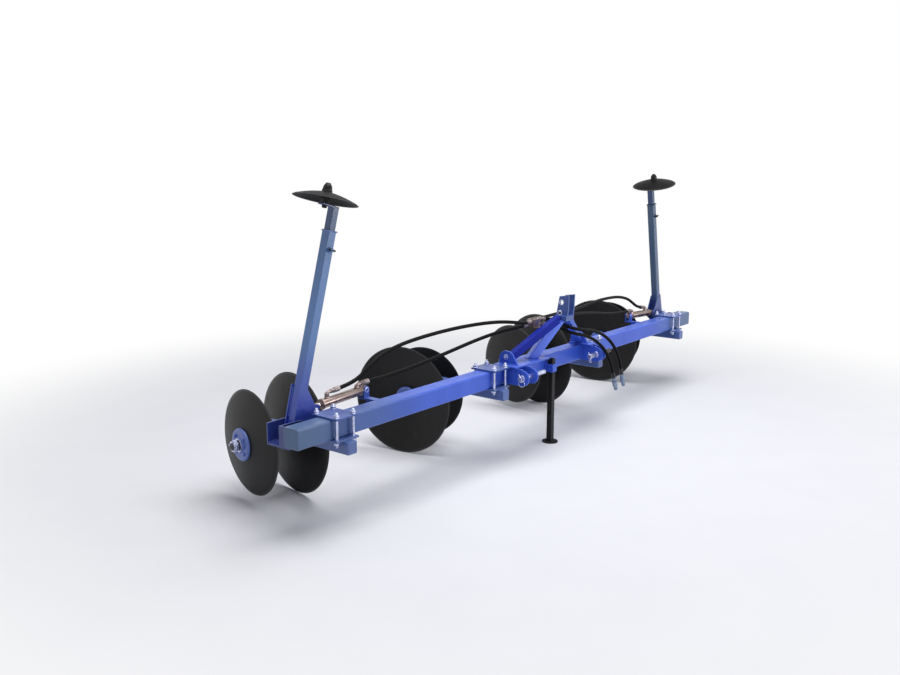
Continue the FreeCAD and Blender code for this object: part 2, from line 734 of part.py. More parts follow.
def barrel(side):
    """Cylinder barrel with its base eye, gland and two elbow ports."""
    body = rod((barrel_eye_r - 4, 0, 0), (1, 0, 0), barrel_r, barrel_len - barrel_eye_r + 4)
    gland = rod((barrel_len - gland_t, 0, 0), (1, 0, 0), gland_r, gland_t)
    eye = rod((0, -barrel_eye_half, 0), (0, 1, 0), barrel_eye_r, 2 * barrel_eye_half)
    parts = [body, gland, eye]
    for at, h in ((port_gland_at, port_gland_h), (port_base_at, port_base_h)):
        parts.append(rod((at, 0, barrel_bore_r + 2), (0, 0, 1), port_boss_r, h + port_boss_r - 4 - barrel_bore_r - 2))
        parts.append(rod((at, 0, h), (-1, 0, 0), port_nipple_r, port_nipple_len))
    shape = fuse(parts)
    shape = shape.cut(rod((barrel_back, 0, 0), (1, 0, 0), barrel_bore_r, barrel_len - gland_t - barrel_back))
    shape = shape.cut(rod((barrel_len - gland_t - 1, 0, 0), (1, 0, 0), rod_r + running_gap, gland_t + 2))
    shape = shape.cut(rod((0, -50, 0), (0, 1, 0), cylinder_pin_r + running_gap, 100))
    # the barrel's end is relieved round the ears of its bracket
    for way in (-1, 1):
        y0 = barrel_eye_half if way > 0 else -barrel_r - 1
        shape = shape.cut(box(-40, barrel_eye_r + 6, y0, y0 + barrel_r + 1 - barrel_eye_half, -60, barrel_r + 1))
    return to_cylinder(shape, side)


def piston_rod(side):
    """Rod with its piston, eye and the cross pin that lies between the arm's lug plates."""
    base, eye_at = cylinder_points(side)
    length = (eye_at - base).Length
    stem = rod((piston_at, 0, 0), (1, 0, 0), rod_r, length - piston_at)
    piston = rod((piston_at, 0, 0), (1, 0, 0), barrel_bore_r - running_gap, piston_t)
    eye = rod((length, -rod_eye_half, 0), (0, 1, 0), rod_eye_r, 2 * rod_eye_half)
    reach = marker_tube_w / 2 - seat_gap
    pin = rod((length, -reach, 0), (0, 1, 0), rod_pin_r, 2 * reach)
    return to_cylinder(fuse([stem, piston, eye, pin]), side)


def cylinder_bracket(side):
    """Pair of ears on a shelf behind the toolbar, with the base pin of the cylinder."""
    bx, bz = cylinder_base
    x = side * bx
    y = marker_pivot_y
    y_in = barrel_eye_half + cylinder_ear_gap
    t = cylinder_ear_t
    r = cylinder_ear_r
    parts = [box(x - r, x + r, toolbar_w, y + y_in + t, cylinder_base_z, cylinder_base_z + cylinder_base_t)]
    for y0 in (y - y_in - t, y + y_in):
        parts.append(box(x - r, x + r, y0, y0 + t, cylinder_base_z, bz))
        parts.append(rod((x, y0, bz), (0, 1, 0), r, t))
    web = box(x - 5, x + 5, toolbar_w, y - y_in - t, cylinder_base_z - 50, cylinder_base_z)
    pin = rod((x, y - y_in - t - 5, bz), (0, 1, 0), cylinder_pin_r, 2 * (y_in + t + 5))
    return fuse(parts + [web, pin])


# Ports of the hydraulic tee block: (face, offset along Y, offset along Z)
tee_left_ports = ((-12.0, 11.0), (12.0, -11.0))
tee_right_ports = ((15.0, 12.0), (15.0, -12.0), (-14.0, 12.0), (-14.0, -12.0))


def tee_port(side, index):
    x, y, z = tee_centre
    dy, dz = (tee_left_ports if side < 0 else tee_right_ports)[index]
    return (x + side * tee_size[0] / 2, y + dy, z + dz)


def tee_block():
    x, y, z = tee_centre
    a, b, c = tee_size
    block = box(x - a / 2, x + a / 2, y - b / 2, y + b / 2, z - c / 2, z + c / 2)
    parts = [block]
    for side, count in ((-1, 2), (1, 4)):
        for i in range(count):
            parts.append(rod(tee_port(side, i), (side, 0, 0), tee_nipple_r, tee_nipple_len))
    tab = box(x - 16, x + 16, y - b / 2 - tee_tab_reach, y - b / 2 + 20, z - c / 2 - tee_tab_t, z - c / 2)
    body = fuse(parts + [tab])
    a = mirrored(rear_brace_top, -1)
    b = mirrored(rear_brace_foot, -1)
    return body.cut(square_between(a, b, rear_brace_w, brace_spare))


def cylinder_hose_start(side, at, h):
    """Face of the hose at a barrel port, hose_port_gap off the nipple's end."""
    base, eye = cylinder_points(side)
    d = (eye - base).normalize()
    up = V(-d.z * side, 0, abs(d.x))
    p = base + d * (at - port_nipple_len - hose_port_gap) + up * h
    return (p.x, p.y, p.z)


def tee_hose_end(side, index):
    p = tee_port(side, index)
    return (p[0] + side * tee_nipple_len, p[1], p[2])


def going(route):
    """The route with its outer points moved as the marker pivots are."""
    moved = marker_pivot_x - route_pivot_x
    points = []
    for x, y, z in route:
        share = (abs(x) - route_still_x) / (route_going_x - route_still_x)
        share = min(1.0, max(0.0, share))
        points.append((x + math.copysign(moved * share, x), y, z))
    return points


def save_hoses():
    gl = cylinder_hose_start(-1, port_gland_at, port_gland_h)
    bl = cylinder_hose_start(-1, port_base_at, port_base_h)
    gr = cylinder_hose_start(1, port_gland_at, port_gland_h)
    br = cylinder_hose_start(1, port_base_at, port_base_h)
    print("hose starts", gl, bl, gr, br)
    left_high = [gl] + going(route_left_high) + [tee_hose_end(-1, 0)]
    left_low = [bl] + going(route_left_low) + [tee_hose_end(-1, 1)]
    right_high = [gr] + going(route_right_high) + [tee_hose_end(1, 0)]
    right_low = [br] + going(route_right_low) + [tee_hose_end(1, 1)]
    feed_a = [tee_hose_end(1, 2)] + list(route_feed_a)
    feed_b = [tee_hose_end(1, 3)] + list(route_feed_b)
    routes = (("hose_left_high", left_high), ("hose_left_low", left_low), ("hose_right_high", right_high),
              ("hose_right_low", right_low), ("hose_feed_a", feed_a), ("hose_feed_b", feed_b))
    for name, pts in routes:
        save(name, [hose(name, pts, hose_r)])
    couplers = []
    for pts in (feed_a, feed_b):
        end = V(*pts[-1])
        d = (end - V(*pts[-2])).normalize()
        body = Part.makeCylinder(coupler_r, coupler_len, end, d)
        collar = Part.makeCylinder(coupler_collar_r, coupler_collar_len, end + d * coupler_collar_at, d)
        couplers.append(fuse([body, collar]))
    save("couplers", couplers)


def main():
    save("toolbar", [toolbar()])
    save("end_caps", end_caps())
    tops = []
    bolts = []
    for i, gang in enumerate(gangs):
        tops.append(clamp_plate(gang[0], toolbar_top))
        bolts.extend(clamp_bolts(gang[0]))
        save("gang_arm_%d" % (i + 1), [gang_arm(gang)])
        save("axle_%d" % (i + 1), [axle(gang)])
        save("gang_discs_%d" % (i + 1), gang_discs(gang))
    save("clamp_plates", tops)
    save("clamp_bolts", bolts)
    save("mast", [mast()])
    save("front_brace", [front_brace()])
    save("rear_brace_left", [rear_brace(-1)])
    save("rear_brace_right", [rear_brace(1)])
    save("brace_lugs", [brace_lug(-1), brace_lug(1)])
    save("hitch_bracket_left", [hitch_bracket(-1)])
    save("hitch_bracket_right", [hitch_bracket(1)])
    save("hitch_pins", [hitch_pin(-1), hitch_pin(1)])
    save("stand_sleeve", [stand_sleeve()])
    save("stand_leg", [stand_leg()])
    for side, word in ((-1, "left"), (1, "right")):
        save("marker_arm_" + word, [marker_arm(side)])
        save("marker_extension_" + word, [marker_extension(side)])
        save("marker_disc_" + word, [marker_disc(side)])
        save("barrel_" + word, [barrel(side)])
        save("rod_" + word, [piston_rod(side)])
    save("marker_brackets", [marker_bracket(-1), marker_bracket(1)])
    save("cylinder_brackets", [cylinder_bracket(-1), cylinder_bracket(1)])
    save("tee_block", [tee_block()])
    save_hoses()


main()
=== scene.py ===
import math

import bmesh
import bpy
import numpy as np
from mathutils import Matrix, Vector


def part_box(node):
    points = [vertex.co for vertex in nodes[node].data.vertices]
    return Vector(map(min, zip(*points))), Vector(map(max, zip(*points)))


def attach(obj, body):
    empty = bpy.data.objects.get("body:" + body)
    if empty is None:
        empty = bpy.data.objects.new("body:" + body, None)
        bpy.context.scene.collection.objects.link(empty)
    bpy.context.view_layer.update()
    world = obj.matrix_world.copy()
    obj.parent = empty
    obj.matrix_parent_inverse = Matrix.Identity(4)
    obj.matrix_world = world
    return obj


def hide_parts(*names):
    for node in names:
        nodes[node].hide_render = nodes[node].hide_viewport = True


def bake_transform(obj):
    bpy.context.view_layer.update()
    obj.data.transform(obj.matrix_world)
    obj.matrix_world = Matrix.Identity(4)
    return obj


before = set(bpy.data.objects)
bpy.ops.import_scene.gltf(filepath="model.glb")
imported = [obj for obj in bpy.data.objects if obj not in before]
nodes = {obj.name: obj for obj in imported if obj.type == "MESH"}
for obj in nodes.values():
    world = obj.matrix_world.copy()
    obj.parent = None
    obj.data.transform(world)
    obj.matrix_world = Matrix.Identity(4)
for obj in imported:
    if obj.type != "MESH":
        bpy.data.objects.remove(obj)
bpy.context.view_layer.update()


# Studio: a pale floor that fades into a white backdrop, soft lamps and the camera.
# The floor and the world are white only to the eye and to gloss, so the paint is lit at a plain level.
FLOOR_SIDE = 60.0
FLOOR_COLOURS = (0.76, 0.76, 0.79), (0.78, 0.78, 0.805)
FLOOR_FADE = 1.8, 4.6
WHITE = (1.0, 1.0, 1.0, 1.0)


class Wire:
    """One shader value. Sums, products and powers with numbers or other wires add Math nodes."""

    def __init__(self, tree, socket):
        self.tree = tree
        self.socket = socket

    def node(self, kind, sockets=(), settings=(), out=0):
        """Add a node: its settings first, then its sockets by name or number; `out` is the output given back."""
        made = self.tree.nodes.new(kind)
        for name, value in dict(settings).items():
            if name == "stops":
                ramp = made.color_ramp
                while len(ramp.elements) < len(value):
                    ramp.elements.new(0.5)
                for element, (place, colour) in zip(ramp.elements, value):
                    element.position = place
                    element.color = colour
            else:
                setattr(made, name, value)
        for name, value in dict(sockets).items():
            if isinstance(value, Wire):
                self.tree.links.new(value.socket, made.inputs[name])
            else:
                made.inputs[name].default_value = value
        return Wire(self.tree, made.outputs[out])

    def math(self, operation, *values):
        return self.node("ShaderNodeMath", enumerate(values), {"operation": operation})

    def vector(self, operation, *values):
        out = 1 if operation in ("LENGTH", "DOT_PRODUCT", "DISTANCE") else 0
        return self.node("ShaderNodeVectorMath", enumerate(values), {"operation": operation}, out)

    def __add__(self, other):
        return self.math("ADD", self, other)

    def __sub__(self, other):
        return self.math("SUBTRACT", self, other)

    def __rsub__(self, other):
        return self.math("SUBTRACT", other, self)

    def __mul__(self, other):
        return self.math("MULTIPLY", self, other)

    def __truediv__(self, other):
        return self.math("DIVIDE", self, other)

    def __pow__(self, other):
        return self.math("POWER", self, other)

    __radd__ = __add__
    __rmul__ = __mul__

    def rise(self, low, high):
        """0 below `low`, 1 above `high`, smooth between; the ends may be given the other way round."""
        return self.node("ShaderNodeMapRange", {"Value": self, "From Min": low, "From Max": high},
                         {"interpolation_type": "SMOOTHSTEP"})

    def tint(self, none, full):
        """Colour mix with this value as the factor; a plain colour is (red, green, blue)."""
        none, full = [(*end, 1.0) if isinstance(end, tuple) else end for end in (none, full)]
        return self.node("ShaderNodeMix", {0: self, 6: none, 7: full}, {"data_type": "RGBA"}, 2)

    def axis(self, letter):
        return self.node("ShaderNodeSeparateXYZ", {0: self}, (), "XYZ".index(letter))

    def attribute(self, name, out=2):
        """A mesh attribute: `out` 1 gives a place, 2 a number."""
        return self.node("ShaderNodeAttribute", {}, {"attribute_name": name}, out)

    def noise(self, scale, detail=3.0, roughness=0.5, stretch=None):
        """Noise on this vector; `stretch` scales its three axes first."""
        at = self if stretch is None else self.vector("MULTIPLY", self, stretch)
        return at.node("ShaderNodeTexNoise", {"Vector": at, "Scale": scale, "Detail": detail, "Roughness": roughness})

    def bump(self, strength, distance):
        return self.node("ShaderNodeBump", {"Height": self, "Strength": strength, "Distance": distance})


def new_finish(name, **constants):
    """A new material: gives it, its shader, its Object coordinates and its object-space normal as wires."""
    material = bpy.data.materials.new(name)
    material.use_nodes = True
    tree = material.node_tree
    shader = tree.nodes["Principled BSDF"]
    for key, value in constants.items():
        shader.inputs[key.replace("_", " ")].default_value = value
    start = tree.nodes.new("ShaderNodeTexCoord")
    return material, shader, Wire(tree, start.outputs["Object"]), Wire(tree, start.outputs["Normal"])


def feed(shader, **wires):
    for key, wire in wires.items():
        wire.tree.links.new(wire.socket, shader.inputs[key.replace("_", " ")])


def seen_rays(start, *others):
    """1 for what the eye sees straight, and for the other kinds of ray that are named."""
    path = start.node("ShaderNodeLightPath")
    seen = path
    for kind in others:
        seen = seen.math("MAXIMUM", seen, Wire(path.tree, path.socket.node.outputs[kind]))
    return seen


def floor_finish():
    """Matt pale floor; between the two FLOOR_FADE distances from the middle it turns to the backdrop's white."""
    material, shader, place, _ = new_finish("studio_floor", Roughness=0.9, Specular_IOR_Level=0.2)
    tree = material.node_tree
    speck = place.noise(3.0, 4.0)
    feed(shader, Base_Color=speck.rise(0.2, 0.8).tint(*FLOOR_COLOURS))
    across = place.vector("LENGTH", place.vector("MULTIPLY", place, (1.0, 1.0, 0.0)))
    seen = seen_rays(place, "Is Glossy Ray")
    glow = place.node("ShaderNodeEmission", {"Color": WHITE, "Strength": 1.0})
    matt = Wire(tree, shader.outputs[0])
    mixed = place.node("ShaderNodeMixShader", {0: across.rise(*FLOOR_FADE) * seen, 1: matt, 2: glow})
    tree.links.new(mixed.socket, tree.nodes["Material Output"].inputs["Surface"])
    return material


def mesh_object(name, points, faces, material):
    """An object whose mesh has these points and faces, at the origin."""
    mesh = bpy.data.meshes.new(name)
    mesh.from_pydata(np.asarray(points, float).reshape(-1, 3).tolist(), [], [list(f) for f in faces])
    mesh.materials.append(material)
    made = bpy.data.objects.new(name, mesh)
    bpy.context.scene.collection.objects.link(made)
    return made


half = FLOOR_SIDE / 2
corners = [(-half, -half, 0), (half, -half, 0), (half, half, 0), (-half, half, 0)]
mesh_object("floor", corners, [(0, 1, 2, 3)], floor_finish())

scene = bpy.context.scene
scene.view_settings.view_transform = "Standard"
world = bpy.data.worlds.new("studio")
scene.world = world
world.use_nodes = True
sky = Wire(world.node_tree, world.node_tree.nodes["Background"].outputs[0])
to_eye = seen_rays(sky, "Is Glossy Ray", "Is Transmission Ray")
dome = sky.node("ShaderNodeBackground", {"Color": (0.86, 0.90, 1.0, 1.0), "Strength": 0.30})
white = sky.node("ShaderNodeBackground", {"Color": WHITE, "Strength": 1.0})
both = sky.node("ShaderNodeMixShader", {0: to_eye, 1: dome, 2: white})
sky.tree.links.new(both.socket, sky.tree.nodes["World Output"].inputs["Surface"])


def soft_lamp(name, place, aim, size, power):
    """A white rectangular lamp at `place` that faces `aim`."""
    data = bpy.data.lights.new(name, "AREA")
    data.shape = "RECTANGLE"
    data.size, data.size_y = size
    data.energy = power
    lamp = bpy.data.objects.new(name, data)
    scene.collection.objects.link(lamp)
    away = np.array(place, float) - np.array(aim, float)
    flat = math.hypot(away[0], away[1])
    lamp.location = place
    lamp.rotation_euler = (math.atan2(flat, away[2]), 0.0, math.atan2(away[0], -away[1]))


soft_lamp("key_lamp", (-0.2, -1.0, 6.4), (0.0, 0.1, 0.2), (6.0, 4.4), 440.0)
soft_lamp("front_lamp", (4.5, -8.5, 1.5), (0.0, 0.0, 0.6), (6.0, 2.0), 260.0)
soft_lamp("left_lamp", (-8.5, 1.0, 1.8), (-0.5, 0.0, 0.6), (4.0, 2.0), 18.0)

CAMERA_HEADING = 51.44
CAMERA_DIP = 11.03
CAMERA_LENS = 36.44
CAMERA_PLACE = (-4.7726, -3.3775, 1.7646)
eye_data = bpy.data.cameras.new("camera")
eye_data.sensor_fit = "HORIZONTAL"
eye_data.sensor_width = 36.0
eye_data.lens = CAMERA_LENS
eye_data.clip_end = 200.0
eye = bpy.data.objects.new("camera", eye_data)
scene.collection.objects.link(eye)
eye.location = CAMERA_PLACE
eye.rotation_euler = (math.radians(90.0 - CAMERA_DIP), 0.0, -math.radians(CAMERA_HEADING))
scene.camera = eye


# Hoses: black rubber hydraulic hose, 21 mm outside, with a steel sleeve pressed on each end.
# Four run from the block on the mast's brace to the cylinders, and two feed hoses hang free at the front.
HOSE_R = 0.0105
BAR_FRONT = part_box("toolbar")[0][1]
# Each hose: its length in metres, then its route in millimetres, y from the toolbar's front face.
HOSES = {
    "hose_left_high": (1.531, (
        (-1673.44, 205, 633.05), (-1584, 204, 640), (-1495, 200, 664), (-1421, 194, 715), (-1324, 186, 766),
        (-1193, 174, 797), (-1009, 152, 818), (-810, 120, 832), (-620, 85, 836), (-470, 50, 831), (-355, 23, 815),
        (-265, 10, 797), (-196, 10, 797))),
    "hose_left_low": (1.293, (
        (-1461.05, 205, 631.83), (-1367, 204, 631), (-1263, 201, 634), (-1124, 193, 645), (-946, 178, 667),
        (-758, 156, 698), (-580, 124, 733), (-430, 77, 762), (-325, 43, 773), (-255, 34, 775), (-196, 34, 775))),
    "hose_right_high": (1.798, (
        (1673.44, 205, 633.05), (1600, 204, 643), (1512, 202, 684), (1410, 196, 733), (1245, 186, 768),
        (1061, 173, 781), (870, 155, 785), (680, 134, 777), (490, 109, 775), (310, 82, 784), (150, 54, 795),
        (20, 37, 798), (-90, 37, 798))),
    "hose_right_low": (1.571, (
        (1461.05, 205, 631.83), (1367, 204, 632), (1243, 199, 641), (1085, 187, 660), (897, 169, 690),
        (699, 145, 721), (500, 115, 743), (320, 85, 757), (150, 54, 768), (20, 37, 774), (-90, 37, 774))),
    "hose_feed_a": (0.969, (
        (-90, 8, 798), (-42, 8, 798), (6, -7, 787), (48, -41, 765), (89, -83, 737), (132, -119, 720),
        (200, -134, 707), (290, -139, 691), (385, -144, 663), (465, -152, 621), (530, -161, 569), (583, -168, 506),
        (620, -174, 429), (643, -178, 345))),
    "hose_feed_b": (0.831, (
        (-90, 8, 774), (-42, 8, 774), (6, -6, 761), (48, -39, 735), (89, -79, 706), (132, -113, 689),
        (195, -130, 674), (265, -140, 650), (335, -152, 613), (400, -166, 563), (450, -178, 497), (485, -186, 424),
        (510, -191, 344))),
}
SLEEVE_LEN = 0.044
PORT_SLEEVE, BLOCK_SLEEVE = (0.0138, 0.023), (0.0128, 0.0215)
ROUND = 20


def hose_line(route):
    """Points along the smooth spline whose control points are the route's, read from a NURBS curve."""
    curve = bpy.data.curves.new("route", "CURVE")
    curve.dimensions = "3D"
    curve.resolution_u = 12
    spline = curve.splines.new("NURBS")
    spline.points.add(len(route) - 1)
    for point, (x, y, z) in zip(spline.points, route):
        point.co = (x / 1000, y / 1000 + BAR_FRONT, z / 1000, 1.0)
    spline.order_u = 3
    spline.use_endpoint_u = True
    holder = bpy.data.objects.new("route", curve)
    mesh = bpy.data.meshes.new_from_object(holder)
    line = np.empty(len(mesh.vertices) * 3)
    mesh.vertices.foreach_get("co", line)
    bpy.data.objects.remove(holder)
    bpy.data.curves.remove(curve)
    bpy.data.meshes.remove(mesh)
    line = line.reshape(-1, 3)
    keep = np.r_[True, np.linalg.norm(np.diff(line, axis=0), axis=1) > 1e-6]
    return line[keep]


def carried_frames(line):
    """Two unit cross directions at each point of a line; the first is carried along it."""
    step = np.gradient(line, axis=0)
    tangent = step / np.linalg.norm(step, axis=1)[:, None]
    start = np.cross(tangent[0], (0.0, 0.0, 1.0) if abs(tangent[0][2]) < 0.9 else (1.0, 0.0, 0.0))
    side = np.empty_like(line)
    side[0] = start / np.linalg.norm(start)
    for i in range(1, len(line)):
        carried = side[i - 1] - tangent[i] * np.dot(side[i - 1], tangent[i])
        side[i] = carried / np.linalg.norm(carried)
    return side, np.cross(tangent, side)


def circle(count):
    return np.linspace(0.0, 2 * np.pi, count, endpoint=False)


def tube_grid(line, radius, around):
    """Point (i, j) = line i + radius i * (side cos t j + up sin t j): a round tube on a line."""
    side, up = carried_frames(line)
    t = circle(around)
    ring = side[:, None] * np.cos(t)[None, :, None] + up[:, None] * np.sin(t)[None, :, None]
    return line[:, None] + ring * np.broadcast_to(radius, len(line))[:, None, None]


def skin(grid, ring=False):
    """Quads over a grid of points that is closed round its columns; its two end rows are capped flat, or joined."""
    rows, columns = grid.shape[:2]
    i, j = np.meshgrid(np.arange(rows if ring else rows - 1), np.arange(columns), indexing="ij")
    k = (j + 1) % columns
    down = (i + 1) % rows
    quads = np.stack([i * columns + j, i * columns + k, down * columns + k, down * columns + j], -1).reshape(-1, 4)
    caps = [] if ring else [list(range(columns))[::-1], list(range((rows - 1) * columns, rows * columns))]
    return grid.reshape(-1, 3), quads.tolist() + caps


def rings(rows, t, ring=False):
    """Point (i, j) = (r cos t j, r sin t j, h), where row i is (h, r), each a number or one for every t."""
    grid = [np.stack([r * np.cos(t), r * np.sin(t), h + 0.0 * t], -1) for h, r in rows]
    return skin(np.array(grid), ring)


def turned(profile, around=32, ring=False):
    """A piece turned on Z from a profile of (height, radius)."""
    return rings(profile, circle(around), ring)


def put(part, base, axis, turn=0.0):
    """Moves a part drawn on Z so that its Z is `axis` at `base`; its own places are kept beside the moved ones."""
    points, faces = part[0], part[1]
    own = part[2] if len(part) > 2 else points
    z = np.array(axis, float) / np.linalg.norm(axis)
    x = np.cross((0.0, 0.0, 1.0) if abs(z[2]) < 0.9 else (0.0, 1.0, 0.0), z)
    x /= np.linalg.norm(x)
    y = np.cross(z, x)
    x, y = x * math.cos(turn) + y * math.sin(turn), y * math.cos(turn) - x * math.sin(turn)
    return np.array(base, float) + points @ np.array([x, y, z]), faces, own


def put_all(parts, base, axis, turn=0.0):
    return [put(part, base, axis, turn) for part in parts]


def solid(name, parts, material, body="frame", sharp=32.0, bands=None, node=None):
    """Joins closed parts into one piece that rides on `body` and stands for `node`.

    Each point keeps its `own` place and the `band` number of its part.
    """
    points, faces, own, band, first = [], [], [], [], 0
    for number, part in enumerate(parts):
        points.append(part[0])
        own.append(part[2] if len(part) > 2 else part[0])
        band.append(np.full(len(part[0]), 0.0 if bands is None else bands[number]))
        faces += [[first + v for v in face] for face in part[1]]
        first += len(part[0])
    made = mesh_object(name, np.concatenate(points), faces, material)
    layers = ("own", "FLOAT_VECTOR", "vector", own), ("band", "FLOAT", "value", band)
    for key, kind, field, values in layers:
        layer = made.data.attributes.new(key, kind, "POINT")
        layer.data.foreach_set(field, np.concatenate(values).ravel().astype(np.float32))
    work = bmesh.new()
    work.from_mesh(made.data)
    bmesh.ops.recalc_face_normals(work, faces=work.faces)
    work.to_mesh(made.data)
    work.free()
    made.data.shade_smooth()
    made.data.set_sharp_from_angle(angle=math.radians(sharp))
    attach(made, body)
    if node:
        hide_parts(node)
    return made


def rubber_finish():
    """Black rubber cover: fine marks of the wrapping, a dull sheen and a little dust on top."""
    material, shader, place, facing = new_finish("hose_rubber", Specular_IOR_Level=0.07)
    along = place.node("ShaderNodeUVMap")
    ribs = along.math("SINE", along.axis("Y") * (2 * math.pi * 44.0))
    cloth = along.noise(1.0, 2.0, 0.5, (700.0, 18.0, 1.0))
    dust = place.noise(16.0, 5.0, 0.6).rise(0.48, 0.78) * facing.axis("Z").rise(0.1, 0.9)
    feed(shader, Base_Color=(dust * 0.30).tint((0.0028, 0.0028, 0.0032), (0.022, 0.021, 0.021)),
         Roughness=0.46 + 0.25 * dust, Normal=(ribs * 0.25 + cloth).bump(0.22, 0.0004))
    return material


def plated_finish(name, bright, dull, roughness, metal=0.92):
    """Plated steel: soft clouds in the plating, fine turning marks round the piece's own axis, light stains."""
    material, shader, place, _ = new_finish(name, Metallic=metal)
    own = place.attribute("own", 1)
    lathe_marks = own.noise(1.0, 2.0, 0.55, (60.0, 60.0, 2600.0))
    cloud = place.noise(38.0, 4.0, 0.6)
    stain = place.noise(130.0, 5.0, 0.65).rise(0.60, 0.78)
    colour = cloud.rise(0.30, 0.70).tint(dull, bright)
    feed(shader, Base_Color=(stain * 0.35).tint(colour, tuple(0.55 * part for part in dull)),
         Roughness=roughness + 0.14 * cloud + 0.15 * stain, Normal=(lathe_marks * 0.7 + cloud * 0.3).bump(0.18, 0.0003))
    return material


rubber = rubber_finish()
# The plating is bluish white; the stronger lavender in its colour is a painted reflection of the blue frame around it.
zinc = plated_finish("bright_zinc", (0.60, 0.63, 0.84), (0.44, 0.47, 0.64), 0.20)
rose_brass = plated_finish("rose_fittings", (0.36, 0.27, 0.26), (0.22, 0.165, 0.16), 0.26, 0.80)
dull_steel = plated_finish("dull_sleeves", (0.34, 0.29, 0.29), (0.19, 0.16, 0.165), 0.32, 0.85)
crimped_black = plated_finish("crimped_black_sleeve", (0.050, 0.050, 0.056), (0.028, 0.028, 0.032), 0.38, 0.80)
coupler_steel = plated_finish("coupler_steel_blue", (0.27, 0.34, 0.45), (0.17, 0.22, 0.30), 0.22, 0.85)


def hex_ring(flats, caps, around=36):
    """A hexagon of width `flats`, cut round by cap radius i at height i: caps are (height, radius)."""
    t = circle(around)
    hexagon = flats / 2 / np.cos((t + np.pi / 6) % (np.pi / 3) - np.pi / 6)
    return rings([(h, np.minimum(hexagon, cap)) for h, cap in caps], t)


def hex_nut(flats, height, chamfer=0.0):
    """A hexagon whose corners are turned off at both faces."""
    corner = flats * 0.5774
    low = chamfer or 0.12 * height
    return hex_ring(flats, [(0.0, flats * 0.47), (low, corner), (height - low, corner), (height, flats * 0.47)])


def pressed_sleeve(radius, hex_flats):
    """Hose sleeve: a hexagon foot, then a crimped shell with a lip.

    Point (h, t) of the shell is at radius - a groove that comes three times along h + 0.6 mm * cos 8t.
    """
    t = circle(32)
    h = np.linspace(0.010, SLEEVE_LEN, 26)
    share = (h - h[0]) / (h[-1] - h[0])
    groove = 0.0007 * np.clip(np.sin(share * 3 * 2 * np.pi) * 3 - 1.6, 0.0, 1.0)
    press = 0.0006 * np.cos(8 * t)[None, :] * ((share > 0.12) & (share < 0.86))[:, None]
    r = (radius - groove - 0.0012 * (share > 0.93))[:, None] + press
    return [hex_nut(hex_flats, 0.011), rings(zip(h, r), t)]


hose_lines = {}
for hose_name, (_, route) in HOSES.items():
    line = hose_lines[hose_name] = hose_line(route)
    points, faces = skin(tube_grid(line, HOSE_R, ROUND))
    hose = mesh_object(hose_name + "_rubber", points, faces, rubber)
    far = np.r_[0.0, np.cumsum(np.linalg.norm(np.diff(line, axis=0), axis=1))]
    uv = hose.data.uv_layers.new(name="UVMap")
    corner = np.empty(len(hose.data.loops), int)
    hose.data.loops.foreach_get("vertex_index", corner)
    quads = (len(line) - 1) * ROUND * 4
    wrap = (corner % ROUND) / ROUND
    seam = np.isin(np.arange(quads) % 4, (1, 2)) & (corner[:quads] % ROUND == 0)
    wrap[:quads][seam] = 1.0
    uv.data.foreach_set("uv", np.stack([far[corner // ROUND], wrap], 1).ravel())
    hose.data.shade_smooth()
    hose.data.set_sharp_from_angle(angle=math.radians(50))
    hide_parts(hose_name)
    if "feed" in hose_name:
        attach(hose, "frame")
        block_end, inward = line[0], line[1] - line[0]
    else:
        cylinder = "cylinder_left" if "left" in hose_name else "cylinder_right"
        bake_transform(hose)
        block_end, inward = line[-1], line[-2] - line[-1]
        away = line[1] - line[0]
        foot = line[0] - away / np.linalg.norm(away) * 0.008
        solid(hose_name + "_port_sleeve", put_all(pressed_sleeve(*PORT_SLEEVE), foot, away),
              dull_steel, cylinder)
    solid(hose_name + "_block_sleeve", put_all(pressed_sleeve(*BLOCK_SLEEVE), block_end, inward),
          dull_steel)


# Quick couplers: plated steel bodies on the ends of the feed hoses, with a knurled sleeve that slides back.
# Each ends in a nose with a groove for the tractor's socket.
t = circle(60)
h = np.linspace(0.026, 0.062, 16)
from_middle = np.abs(h - 0.044)[:, None]
knurl = 0.0004 * np.sign(np.sin(20 * t))[None, :] * (from_middle < 0.014)
coupler_parts = [
    hex_nut(0.0240, 0.0130, 0.0010),
    turned([(0.012, 0.0128), (0.020, 0.0130), (0.022, 0.0118), (0.036, 0.0118)], 36),
    rings(zip(h, 0.0168 - 0.0012 * (from_middle > 0.0165) + knurl), t),
    turned([(0.058, 0.0126), (0.069, 0.0126), (0.0695, 0.0108), (0.0735, 0.0108), (0.0740, 0.0126), (0.0850, 0.0124),
            (0.0905, 0.0100), (0.0915, 0.0078)], 36)]
collar_part = turned([(0, 0.0112), (0.002, 0.0128), (0.030, 0.0128), (0.032, 0.0122), (0.0405, 0.0122)], 32)
for hose_name in ("hose_feed_a", "hose_feed_b"):
    line = hose_lines[hose_name]
    end, way = line[-1], line[-1] - line[-2]
    coupler = solid(hose_name + "_coupler", put_all(coupler_parts, end, way), coupler_steel,
                    sharp=30, node="couplers" if hose_name == "hose_feed_a" else None)
    collar = solid(hose_name + "_end_sleeve", [put(collar_part, end - way / np.linalg.norm(way) * 0.040, way)],
                   crimped_black)
for hose_name in ("hose_left_high", "hose_left_low", "hose_right_high", "hose_right_low"):
    line = hose_lines[hose_name]


